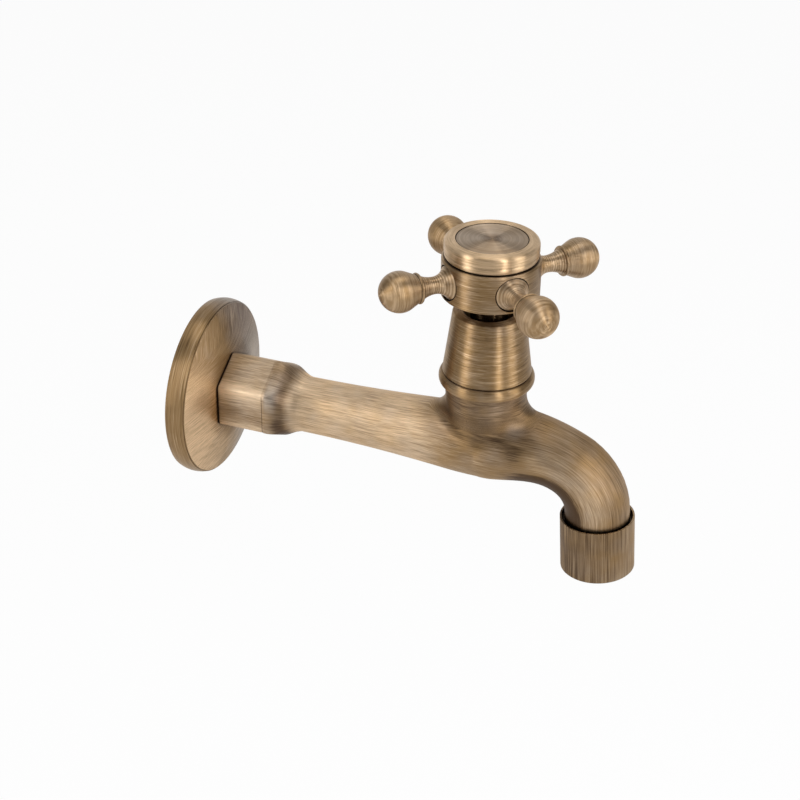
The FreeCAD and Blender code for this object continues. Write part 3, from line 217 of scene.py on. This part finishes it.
# The plain materials, and the pieces made of them. Variety is how much the colour changes.
PLAIN_NOISE, PLAIN_ROUGHNESS = (3.0, 0.6), 0.2
PLAIN_LOOKS = {
    "steel": {"colour": (0.42, 0.42, 0.41), "metallic": 1.0, "roughness": 0.3, "grain": 1.2,
              "variety": 0.15},
    "rubber": {"colour": (0.02, 0.02, 0.02), "metallic": 0.0, "roughness": 0.65, "grain": 2.0,
               "variety": 0.3},
    "white_plastic": {"colour": (0.70, 0.70, 0.66), "metallic": 0.0, "roughness": 0.4, "grain": 0.8,
                      "variety": 0.05},
    "ceramic": {"colour": (0.80, 0.78, 0.72), "metallic": 0.0, "roughness": 0.15, "grain": 0.5,
                "variety": 0.03},
}
PLAIN_NODES = {
    "steel": ("handle_screw", "handle_screw_washer", "spindle_circlip", "aerator_screen"),
    "rubber": ("spindle_o_ring_lower", "spindle_o_ring_upper", "seat_seal", "aerator_washer"),
    "white_plastic": ("headwork_washer", "thrust_washer", "aerator_insert"),
    "ceramic": ("ceramic_disc_fixed", "ceramic_disc_rotating"),
}
ARMS = 4

# Soft boxes round the tap: the turn from the camera's side in degrees, the width and the power.
# Then how far from the tap they stand, how far above it and how tall they are.
BOXES = {"left_box": (-60, 0.3, 4.4), "right_box": (29, 0.12, 4.0), "side_box": (66, 0.4, 4.0)}
BOX_AWAY, BOX_RISE, BOX_HEIGHT = 0.95, 0.35, 1.0
TOP_BOX_PLACE, TOP_BOX_SIZE, TOP_BOX_POWER = Vector((0.1, 0, 1.0)), 0.5, 2.0
# The place that they are turned to.
LIT_PLACE = LOOK_AT + Vector((0, 0, 0.02))
# The room's light towards the back and overhead: the directions and strengths between which it goes.
ROOM_BEHIND, ROOM_OVERHEAD = (0.35, 0.95, 0.28, 0.9), (0.3, 1.0, 0.0, 0.3)
ROOM_COLOUR = (0.98, 0.99, 1.0, 1)

# The floor: half its side, how far it lies under the tap, its speckle, and how white it is seen.
FLOOR_SIZE, FLOOR_DROP, FLOOR_GRAIN = 3.0, 0.16, 30
FLOOR_COLOURS = ((0.78, 0.78, 0.78), (0.80, 0.80, 0.80))
FLOOR_SEEN = 0.93


class Flow:
    """A number or vector in a node tree, so that a formula can be written as one."""

    def __init__(self, tree, socket):
        self.tree, self.socket = tree, socket

    def feed(self, node, index, value):
        """Gives a value, a Flow or a plain one, to a node's input."""
        if isinstance(value, Flow):
            self.tree.links.new(value.socket, node.inputs[index])
        else:
            node.inputs[index].default_value = value

    def maths(self, operation, *values):
        """A formula of this number and others."""
        node = self.tree.nodes.new("ShaderNodeMath")
        node.operation = operation
        for index, value in enumerate((self, *values)):
            self.feed(node, index, value)
        return Flow(self.tree, node.outputs[0])

    def vector(self, operation, *values):
        """A formula of this vector and others, whose result is a vector."""
        return Flow(self.tree, self.vector_node(operation, values).outputs[0])

    def measure(self, operation, *values):
        """A formula of this vector and others, whose result is a number."""
        return Flow(self.tree, self.vector_node(operation, values).outputs[1])

    def vector_node(self, operation, values):
        node = self.tree.nodes.new("ShaderNodeVectorMath")
        node.operation = operation
        for index, value in enumerate((self, *values)):
            self.feed(node, index, value)
        return node

    def __add__(self, other):
        return self.vector("ADD", other) if self.socket.type == "VECTOR" else self.maths("ADD", other)

    def __sub__(self, other):
        return self.maths("SUBTRACT", other)

    def __mul__(self, other):
        return self.maths("MULTIPLY", other)

    def times(self, number):
        """This vector, grown by a plain number."""
        return self.vector("MULTIPLY", (number, number, number))

    def parts(self):
        """A vector's three numbers."""
        node = self.tree.nodes.new("ShaderNodeSeparateXYZ")
        self.feed(node, 0, self)
        return [Flow(self.tree, output) for output in node.outputs]

    def limited(self):
        """This number, held between 0 and 1."""
        return self.maths("MAXIMUM", 0.0).maths("MINIMUM", 1.0)

    def ramp(self, low, high, start=0.0, end=1.0):
        """Goes smoothly from start to end as this number goes from low to high."""
        node = self.tree.nodes.new("ShaderNodeMapRange")
        node.interpolation_type = "SMOOTHSTEP"
        for index, value in enumerate((self, low, high, start, end)):
            self.feed(node, index, value)
        return Flow(self.tree, node.outputs[0])

    def mix(self, first, second, kind="FLOAT"):
        """Goes from first to second as this number goes from 0 to 1."""
        node = self.tree.nodes.new("ShaderNodeMix")
        node.data_type = kind
        places = {"FLOAT": (2, 3, 0), "VECTOR": (4, 5, 1), "RGBA": (6, 7, 2)}[kind]
        self.feed(node, 0, self)
        for index, value in zip(places, (first, second)):
            if kind == "RGBA" and not isinstance(value, Flow):
                value = (*value, 1)
            self.feed(node, index, value)
        return Flow(self.tree, node.outputs[places[2]])


def together(x, y, z):
    """A vector from three numbers, at least one of them a Flow."""
    flow = next(value for value in (x, y, z) if isinstance(value, Flow))
    node = flow.tree.nodes.new("ShaderNodeCombineXYZ")
    for index, value in enumerate((x, y, z)):
        flow.feed(node, index, value)
    return Flow(flow.tree, node.outputs[0])


def fixed(tree, vector):
    """The same vector everywhere."""
    node = tree.nodes.new("ShaderNodeCombineXYZ")
    for index, value in enumerate(vector):
        node.inputs[index].default_value = value
    return Flow(tree, node.outputs[0])


def noise(place, detail=2.0, roughness=0.5):
    """Soft noise from 0 to 1 at a place given in units of its own grain."""
    node = place.tree.nodes.new("ShaderNodeTexNoise")
    node.inputs["Scale"].default_value = 1
    node.inputs["Detail"].default_value = detail
    node.inputs["Roughness"].default_value = roughness
    place.tree.links.new(place.socket, node.inputs["Vector"])
    return Flow(place.tree, node.outputs["Fac"])


def weighed(values, weights, base):
    """The base plus each value times its weight."""
    total = base
    for name, weight in weights.items():
        total = values[name] * weight + total
    return total


def new_material(name):
    """A material with its shader, and the place on the object in millimetres and the normal."""
    material = bpy.data.materials.new(name)
    material.use_nodes = True
    tree = material.node_tree
    shader = tree.nodes["Principled BSDF"]
    coordinates = tree.nodes.new("ShaderNodeTexCoord")
    place = Flow(tree, coordinates.outputs["Object"]).times(1 / MM)
    normal = Flow(tree, coordinates.outputs["Normal"])
    return material, tree, shader, place, normal


class Brushing:
    """How a surface was brushed: the strokes' direction, and coordinates across and along them."""

    def __init__(self, strokes, across, along):
        self.strokes, self.across, self.along = strokes, across, along


def from_centre(place, centre):
    """Where a place lies from a centre that is given in metres."""
    return place.vector("SUBTRACT", tuple(c / MM for c in centre))


def turned_brushing(place, centre, axis, length=TURNED_STROKES):
    """Strokes round an axis: rings on a face, hoops on a side. More length makes shorter strokes."""
    offset = from_centre(place, centre)
    height = offset.measure("DOT_PRODUCT", tuple(axis))
    side = offset.vector("SUBTRACT", together(height * axis.x, height * axis.y, height * axis.z))
    reach = side.measure("LENGTH")
    strokes = side.vector("CROSS_PRODUCT", tuple(axis)).vector("NORMALIZE")
    around = side.vector("NORMALIZE").times(length)
    return Brushing(strokes, height + reach * RING_SPACING, around)


def brass_look(tree, shader, place, normal, brushing, light=0.0, grey=0.06, contrast=0.88,
               gloss=0.45, spread=0.92, relief=None, stain=None):
    """Fills the shader with brushed antique brass: strokes, clouds, grey patches and dark corners.

    Relief, from 0 to 1, is a fine shape such as turned rings. Stain, from 0 to 1, is dark patina.
    """
    x, y, z = brushing.along.parts()
    layers = {"cloud": noise(place.times(CLOUD_GRAIN), *CLOUD_NOISE) - 0.5}
    for name, (across, along, detail, grain) in STROKES.items():
        spot = together(brushing.across * across, x * along, y * along + z)
        layers[name] = noise(spot, detail, grain) - 0.5
    tone = weighed(layers, TONE_WEIGHTS, 0) * contrast + TONE_MIDDLE + light
    height = weighed(layers, HEIGHT_WEIGHTS, 0)
    roughness = weighed(layers, ROUGHNESS_WEIGHTS, gloss)
    if relief:
        tone = tone + (relief - NO_RELIEF) * RELIEF_TONE
        height = height + relief * RELIEF_HEIGHT
    low = tone.ramp(*DARK_TO_MID).mix(BRASS_DARK, BRASS_MID, "RGBA")
    golden = tone.ramp(*MID_TO_LIGHT).mix(low, BRASS_LIGHT, "RGBA")
    silver = tone.ramp(*GREY_TONES).mix(GREY_DARK, GREY_LIGHT, "RGBA")
    patch = noise(place.times(PATCH_GRAIN) + PATCH_PLACE)
    share = ((patch - 0.5) * PATCH_CONTRAST + grey).limited()
    colour = share.mix(golden, silver, "RGBA")
    corner = tree.nodes.new("ShaderNodeAmbientOcclusion")
    corner.samples = CORNER_SAMPLES
    corner.inputs["Distance"].default_value = CORNER_REACH
    colour = Flow(tree, corner.outputs["AO"]).ramp(*CORNER_OPEN).mix(PATINA, colour, "RGBA")
    if stain:
        colour = stain.mix(colour, PATINA, "RGBA")
    tangent = brushing.strokes.vector("CROSS_PRODUCT", normal) + TANGENT_TERM
    rounded = tree.nodes.new("ShaderNodeBevel")
    rounded.samples = EDGE_SAMPLES
    rounded.inputs["Radius"].default_value = EDGE_RADIUS
    bump = tree.nodes.new("ShaderNodeBump")
    bump.inputs["Strength"].default_value = STROKE_STRENGTH
    bump.inputs["Distance"].default_value = STROKE_DEPTH
    tree.links.new(height.socket, bump.inputs["Height"])
    tree.links.new(rounded.outputs["Normal"], bump.inputs["Normal"])
    shader.inputs["Metallic"].default_value = 1.0
    shader.inputs["Anisotropic"].default_value = spread
    tree.links.new(colour.socket, shader.inputs["Base Color"])
    tree.links.new(roughness.socket, shader.inputs["Roughness"])
    tree.links.new(tangent.socket, shader.inputs["Tangent"])
    tree.links.new(bump.outputs["Normal"], shader.inputs["Normal"])


def turned_brass(name, **look):
    """Brass brushed on the lathe round the tower's axis."""
    material, tree, shader, place, normal = new_material(name)
    brass_look(tree, shader, place, normal, turned_brushing(place, TOWER, UP), **look)
    return material


def arm_brass(name, centre, outward):
    """An arm of the handle: turned, with fine steps on its foot and neck."""
    material, tree, shader, place, normal = new_material(name)
    brushing = turned_brushing(place, centre, outward, ARM_STROKES)
    reach = from_centre(place, centre).measure("DOT_PRODUCT", tuple(outward))
    steps = (reach * (2 * math.pi / STEP_PITCH)).maths("SINE").ramp(-STEP_SOFTNESS, STEP_SOFTNESS)
    relief = reach.ramp(*STEPS_END).mix(NO_RELIEF, steps)
    brass_look(tree, shader, place, normal, brushing, relief=relief, **ARM_LOOK)
    return material


def flange_brass():
    """The wall flange: brushed by hand across the wall, more upright near its top, where painted shade
    makes it darker.
    """
    material, tree, shader, place, normal = new_material("flange_brass")
    x, y, z = place.parts()
    flat = together(x, 0, z)
    reach = flat.measure("LENGTH")
    measures = {"upper": z, "left": x, "foot_shade": reach, "rim": reach}
    regions = {name: measures[name].ramp(*band) for name, band in FLANGE_BANDS.items()}
    upper, rim = regions["upper"], regions["rim"]
    # On the plate the strokes are straight, and on the rim they run round it.
    level, steep = LEVEL_STROKES, STEEP_STROKES
    across = upper.mix(z * math.cos(level) - x * math.sin(level),
                       z * math.cos(steep) - x * math.sin(steep) + STEEP_PLACE)
    along = upper.mix(x * FLANGE_SLOW, z * FLANGE_SLOW)
    strokes = upper.mix((math.cos(level), 0, math.sin(level)),
                        (math.cos(steep), 0, math.sin(steep)), "VECTOR")
    hoops = together(z, 0, x * -1).vector("NORMALIZE")
    bearing = flat.vector("NORMALIZE").times(TURNED_STROKES).parts()
    way = together(rim.mix(along, bearing[0]), rim.mix(0, bearing[2]), 0)
    brushing = Brushing(rim.mix(strokes, hoops, "VECTOR"), rim.mix(across, y + RIM_PLACE), way)
    # Painted light and shade on the plate: lighter on the left, darker at the top and round the hexagon's
    # foot.
    plate_painted_light = weighed(regions, FLANGE_PAINTED_LIGHT, 0)
    light = plate_painted_light * (rim * -1 + 1) + rim * RIM_LIGHT + FLANGE_MIDDLE
    # The greyness that grows towards the right is a painted reflection.
    brass_look(tree, shader, place, normal, brushing, light=light, grey=x.ramp(*FLANGE_REFLECTION_GREY))
    return material


def disc_brass():
    """The disc in the cap: fine rings, grey, darkest in the middle."""
    material, tree, shader, place, normal = new_material("disc_brass")
    brushing = turned_brushing(place, TOWER, UP, DISC_STROKES)
    reach = from_centre(place, TOWER).vector("MULTIPLY", (1, 1, 0)).measure("LENGTH")
    light = reach.ramp(*DISC_MIDDLE) * DISC_MIDDLE_LIGHT + DISC_LIGHT
    brass_look(tree, shader, place, normal, brushing, light=light, **DISC_LOOK)
    return material


def collar_brass():
    """The outlet collar, brushed along its axis in long dark, brown and golden streaks."""
    material, tree, shader, place, normal = new_material("collar_brass")
    offset = from_centre(place, OUTLET)
    first = OUTLET_AXIS.orthogonal().normalized()
    second = OUTLET_AXIS.cross(first)
    down = offset.measure("DOT_PRODUCT", tuple(OUTLET_AXIS))
    bearing = offset.measure("DOT_PRODUCT", tuple(first)).maths(
        "ARCTAN2", offset.measure("DOT_PRODUCT", tuple(second)))
    across = bearing * (COLLAR_RADIUS * STREAK_ACROSS)
    brushing = Brushing(fixed(tree, OUTLET_AXIS), across, together(down * STREAK_ALONG, 0, 0))
    # Painted shade: the collar is darker on the side towards the wall.
    light = offset.measure("DOT_PRODUCT", COLLAR_LIT_SIDE).ramp(*COLLAR_PAINTED_SHADE)
    brass_look(tree, shader, place, normal, brushing, light=light, **COLLAR_LOOK)
    return material


def pipe_path(place):
    """Along the pipe and its bend, up from the pipe's middle, and the direction of the pipe."""
    _, y, z = place.parts()
    start, radius = BEND_START / MM, BEND_RADIUS / MM
    # Past the start of the bend, a point's place is measured round the bend's own centre.
    beyond = y * -1 + start
    turn = beyond.maths("ARCTAN2", z + radius)
    reach = together(0, beyond, z + radius).measure("LENGTH")
    bent = beyond.maths("GREATER_THAN", 0)
    along = bent.mix(y * -1, turn * radius - start)
    up = bent.mix(z, reach - radius)
    direction = bent.mix((0, 1, 0), together(0, z + radius, beyond), "VECTOR").vector("NORMALIZE")
    return along, up, direction


def body_brass():
    """Brass of the casting: along the hexagon and pipe, round the bend, and round the boss."""
    material, tree, shader, place, normal = new_material("cast_brass")
    x, y, z = place.parts()
    along, up, pipe_strokes = pipe_path(place)
    side = together(x, y - TOWER.y / MM, 0)
    measures = {
        "along": along, "up": up, "height": z, "off_middle": z.maths("ABSOLUTE"),
        "from_tower": side.measure("LENGTH"), "from_inlet": together(x, 0, z).measure("LENGTH"),
    }
    regions = {}
    for name, bands in CAST_BANDS.items():
        parts = [measures[measure].ramp(low, high) for measure, low, high in bands]
        regions[name] = math.prod(parts[1:], start=parts[0])
    # The painted spots: a highlight over a shade.
    for name, (centre, low, high) in PAINTED_SPOTS.items():
        regions[name] = place.measure("DISTANCE", centre).ramp(low, high)
    boss = regions["boss"]

    # Round the boss, the strokes are hoops about the tower.
    hoops = side.vector("CROSS_PRODUCT", (0, 0, 1)).vector("NORMALIZE")
    around = x.maths("ARCTAN2", up) * PIPE_AROUND
    wave = noise(together(along * WAVE_ALONG, around * WAVE_AROUND, 0), 1.0) - 0.5
    bearing = x.maths("ARCTAN2", y - TOWER.y / MM)
    slow = boss.mix(along * PIPE_SLOW, bearing * BOSS_SLOW)
    brushing = Brushing(boss.mix(pipe_strokes, hoops, "VECTOR"),
                        boss.mix(around + wave * WAVE_HEIGHT, z + BOSS_PLACE), together(slow, 0, 0))

    # Painted light and shade by region, with the hexagon lighter above and the waist darker below.
    hexagon_painted_light = regions["hexagon"] * z.ramp(*HEXAGON_PAINTED_LIGHT)
    light = weighed(regions, CAST_PAINTED_LIGHT, hexagon_painted_light) - regions["waist"] * z.ramp(*WAIST_PAINTED_SHADE)
    # Greyness; in the corner, shoulder and pale spot it is a painted reflection.
    grey = weighed(regions, CAST_GREY_AND_REFLECTION, CAST_GREY_MIDDLE)

    from_foot = along - HEX_FOOT / MM
    from_end = along - (HEX_FOOT + HEX_LENGTH) / MM
    foot_line = from_foot.ramp(*FOOT_LINE[0]) * from_foot.ramp(*FOOT_LINE[1])
    end_line = from_end.maths("ABSOLUTE").ramp(*END_LINE) * z.ramp(*END_LINE_HEIGHT)
    stain = foot_line.maths("MAXIMUM", end_line * END_LINE_SHARE)
    brass_look(tree, shader, place, normal, brushing, light=light, grey=grey, stain=stain, **CAST_LOOK)
    return material


def plain_material(name, colour, metallic, roughness, grain, variety):
    """A plain part: its colour and gloss vary a little from place to place."""
    material, tree, shader, place, _ = new_material(name)
    cloud = noise(place.times(grain), *PLAIN_NOISE)
    dark = tuple(c * (1 - variety) for c in colour)
    light = tuple(min(c * (1 + variety), 1) for c in colour)
    tree.links.new(cloud.mix(dark, light, "RGBA").socket, shader.inputs["Base Color"])
    tree.links.new(((cloud - 0.5) * PLAIN_ROUGHNESS + roughness).socket, shader.inputs["Roughness"])
    shader.inputs["Metallic"].default_value = metallic
    return material


def smooth(obj):
    """Welds a piece's faces and shades it smooth, apart from its sharp edges."""
    obj.data.polygons.foreach_set("use_smooth", [True] * len(obj.data.polygons))
    weld = obj.modifiers.new("weld", "WELD")
    weld.merge_threshold = WELD
    modifier = obj.modifiers.new("sharp_edges", "NODES")
    modifier.node_group = bpy.data.node_groups.get("sharp_edges") or sharp_edges_group()
    # The group's second input, the angle.
    modifier["Socket_1"] = SHARP_ANGLE


def sharp_edges_group():
    """Geometry nodes that keep edges sharp where two faces meet at more than an angle."""
    group = bpy.data.node_groups.new("sharp_edges", "GeometryNodeTree")
    group.interface.new_socket("Geometry", in_out="INPUT", socket_type="NodeSocketGeometry")
    group.interface.new_socket("Angle", in_out="INPUT", socket_type="NodeSocketFloat")
    group.interface.new_socket("Geometry", in_out="OUTPUT", socket_type="NodeSocketGeometry")
    inlet = group.nodes.new("NodeGroupInput")
    outlet = group.nodes.new("NodeGroupOutput")
    angle = group.nodes.new("GeometryNodeInputMeshEdgeAngle")
    sharper = group.nodes.new("FunctionNodeCompare")
    sharper.data_type, sharper.operation = "FLOAT", "GREATER_THAN"
    edges = group.nodes.new("GeometryNodeSetShadeSmooth")
    edges.domain = "EDGE"
    edges.inputs["Shade Smooth"].default_value = False
    links = group.links
    links.new(angle.outputs["Unsigned Angle"], sharper.inputs[0])
    links.new(inlet.outputs["Angle"], sharper.inputs[1])
    links.new(inlet.outputs["Geometry"], edges.inputs["Geometry"])
    links.new(sharper.outputs[0], edges.inputs["Selection"])
    links.new(edges.outputs["Geometry"], outlet.inputs["Geometry"])
    return group


def dress(node, material):
    """Gives a CAD piece its material and smooth shading."""
    obj = NODES[node]
    obj.data.materials.clear()
    obj.data.materials.append(material)
    smooth(obj)


def thread_cutter():
    """The groove of the thread: a V wound round the inlet, which fades out at its foot."""
    top = max(vertex.co.y for vertex in NODES["tap_body"].data.vertices)
    start, stop = THREAD_FOOT + THREAD_PITCH * GROOVE_START, top + THREAD_PITCH
    count = round((stop - start) / THREAD_PITCH * STEPS_PER_TURN)
    rim = THREAD_RADIUS + RIM_OUTSIDE
    shape = bmesh.new()
    rings = []
    for k in range(count + 1):
        level = start + (stop - start) * (k / count)
        angle = 2 * math.pi * k / STEPS_PER_TURN
        out = Vector((math.sin(angle), 0, math.cos(angle)))
        deep = min(1.0, k / (STEPS_PER_TURN * GROOVE_RUN_IN))
        root = THREAD_RADIUS + ROOT_OUTSIDE - (THREAD_DEPTH + ROOT_OUTSIDE) * deep
        half_root = THREAD_PITCH * HALF_ROOT
        half_rim = THREAD_PITCH * (HALF_ROOT + HALF_SPREAD * (rim - root) / THREAD_DEPTH)
        corners = ((root, -half_root), (rim, -half_rim), (rim, half_rim), (root, half_root))
        rings.append([shape.verts.new(out * reach + Vector((0, level + offset, 0)))
                      for reach, offset in corners])
    for first, second in zip(rings, rings[1:]):
        for k in range(4):
            shape.faces.new((first[k], first[(k + 1) % 4], second[(k + 1) % 4], second[k]))
    shape.faces.new(reversed(rings[0]))
    shape.faces.new(rings[-1])
    bmesh.ops.recalc_face_normals(shape, faces=shape.faces)
    mesh = bpy.data.meshes.new("thread_cutter")
    shape.to_mesh(mesh)
    shape.free()
    return mesh


def threaded_body(material):
    """The casting with its thread: a copy of the CAD piece, less the groove."""
    shape = bmesh.new()
    shape.from_mesh(NODES["tap_body"].data)
    bmesh.ops.remove_doubles(shape, verts=shape.verts, dist=WELD)
    mesh = bpy.data.meshes.new("threaded_body")
    shape.to_mesh(mesh)
    shape.free()
    body = bpy.data.objects.new("threaded_body", mesh)
    cutter = bpy.data.objects.new("thread_cutter", thread_cutter())
    for obj in (body, cutter):
        bpy.context.scene.collection.objects.link(obj)
    cut = body.modifiers.new("thread", "BOOLEAN")
    cut.operation, cut.solver, cut.object = "DIFFERENCE", "EXACT", cutter
    bpy.context.view_layer.update()
    result = bpy.data.meshes.new_from_object(body.evaluated_get(bpy.context.evaluated_depsgraph_get()))
    body.modifiers.clear()
    body.data = result
    bpy.data.objects.remove(cutter)
    result.materials.clear()
    result.materials.append(material)
    smooth(body)
    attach(body, "tap")
    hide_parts("tap_body")


def paint_all():
    """Every piece's material."""
    threaded_body(body_brass())
    dress("wall_flange", flange_brass())
    dress("bonnet_cover", turned_brass("cover_brass"))
    dress("handle_hub", turned_brass("hub_brass"))
    dress("handle_cap", turned_brass("cap_brass", **CAP_LOOK))
    dress("index_disc", disc_brass())
    dress("aerator_housing", collar_brass())
    for k in range(1, ARMS + 1):
        node = f"handle_arm_{k}"
        outward = middle(node) - HUB
        outward.z = 0
        centre = Vector((TOWER.x, TOWER.y, middle(node).z))
        dress(node, arm_brass(f"arm_brass_{k}", centre, outward.normalized()))
    machined = turned_brass("machined_brass", **MACHINED_LOOK)
    for node in ("cartridge_housing", "spindle"):
        dress(node, machined)
    for name, nodes in PLAIN_NODES.items():
        material = plain_material(name, **PLAIN_LOOKS[name])
        for node in nodes:
            dress(node, material)


def make_camera():
    """The photograph's camera. Returns the direction from the tap to it."""
    right = Vector((math.cos(AZIMUTH), math.sin(AZIMUTH), 0))
    back = Vector((math.sin(AZIMUTH) * math.cos(ELEVATION), -math.cos(AZIMUTH) * math.cos(ELEVATION),
                   math.sin(ELEVATION)))
    up = back.cross(right)
    across = right * math.cos(ROLL) + up * math.sin(ROLL)
    upward = up * math.cos(ROLL) - right * math.sin(ROLL)
    data = bpy.data.cameras.new("camera")
    data.lens, data.sensor_width = FOCAL_LENGTH, SENSOR
    data.clip_start, data.clip_end = NEAR, FAR
    camera = bpy.data.objects.new("camera", data)
    turned = Matrix((across, upward, back)).transposed().to_4x4()
    camera.matrix_world = Matrix.Translation(LOOK_AT + back * DISTANCE) @ turned
    bpy.context.scene.collection.objects.link(camera)
    bpy.context.scene.camera = camera
    return back


def area_light(name, offset, width, height, power):
    """A soft rectangular lamp, which looks at the tap from an offset."""
    data = bpy.data.lights.new(name, "AREA")
    data.shape, data.size, data.size_y, data.energy = "RECTANGLE", width, height, power
    lamp = bpy.data.objects.new(name, data)
    lamp.location = LIT_PLACE + offset
    lamp.rotation_euler = (-offset).to_track_quat("-Z", "Y").to_euler()
    bpy.context.scene.collection.objects.link(lamp)


def light_scene(back):
    """Tall soft boxes round the tap in a grey room, which is nearly white behind the tap."""
    level = Vector((back.x, back.y, 0)).normalized()
    for name, (turn, width, power) in BOXES.items():
        way = Matrix.Rotation(math.radians(turn), 3, "Z") @ level
        area_light(name, way * BOX_AWAY + Vector((0, 0, BOX_RISE)), width, BOX_HEIGHT, power)
    area_light("top_box", TOP_BOX_PLACE, TOP_BOX_SIZE, TOP_BOX_SIZE, TOP_BOX_POWER)
    world = bpy.data.worlds.new("room")
    world.use_nodes = True
    bpy.context.scene.world = world
    tree = world.node_tree
    tree.nodes.clear()
    output = tree.nodes.new("ShaderNodeOutputWorld")
    room = tree.nodes.new("ShaderNodeBackground")
    coordinates = tree.nodes.new("ShaderNodeTexCoord")
    direction = Flow(tree, coordinates.outputs["Generated"])
    behind = direction.measure("DOT_PRODUCT", tuple(-level)).ramp(*ROOM_BEHIND)
    overhead = direction.measure("DOT_PRODUCT", tuple(UP)).ramp(*ROOM_OVERHEAD)
    strength = (behind + overhead).maths("MINIMUM", 1.0)
    room.inputs["Color"].default_value = ROOM_COLOUR
    tree.links.new(strength.socket, room.inputs["Strength"])
    tree.links.new(room.outputs[0], output.inputs[0])


def make_floor():
    """A pale floor well under the tap, which the wall holds."""
    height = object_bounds()[0][2] - FLOOR_DROP
    corners = [(x * FLOOR_SIZE, y * FLOOR_SIZE, height) for x, y in ((-1, -1), (1, -1), (1, 1), (-1, 1))]
    mesh = bpy.data.meshes.new("floor")
    mesh.from_pydata(corners, [], [(0, 1, 2, 3)])
    floor = bpy.data.objects.new("floor", mesh)
    bpy.context.scene.collection.objects.link(floor)
    material = bpy.data.materials.new("pale_floor")
    material.use_nodes = True
    tree = material.node_tree
    tree.nodes.clear()
    output = tree.nodes.new("ShaderNodeOutputMaterial")
    matt = tree.nodes.new("ShaderNodeBsdfDiffuse")
    glow = tree.nodes.new("ShaderNodeEmission")
    share = tree.nodes.new("ShaderNodeMixShader")
    rays = tree.nodes.new("ShaderNodeLightPath")
    coordinates = tree.nodes.new("ShaderNodeTexCoord")
    speckle = noise(Flow(tree, coordinates.outputs["Object"]).times(FLOOR_GRAIN))
    tree.links.new(speckle.mix(*FLOOR_COLOURS, "RGBA").socket, matt.inputs["Color"])
    # Seen by the camera, in a reflection or through glass, the floor mostly glows near white.
    camera, glossy, through = (Flow(tree, rays.outputs[f"Is {kind} Ray"])
                               for kind in ("Camera", "Glossy", "Transmission"))
    seen = (camera + glossy + through).maths("MINIMUM", 1.0)
    tree.links.new((seen * FLOOR_SEEN).socket, share.inputs[0])
    tree.links.new(matt.outputs[0], share.inputs[1])
    tree.links.new(glow.outputs[0], share.inputs[2])
    tree.links.new(share.outputs[0], output.inputs[0])
    mesh.materials.append(material)


paint_all()
back = make_camera()
light_scene(back)
make_floor()
bpy.context.scene.view_settings.view_transform = "Standard"
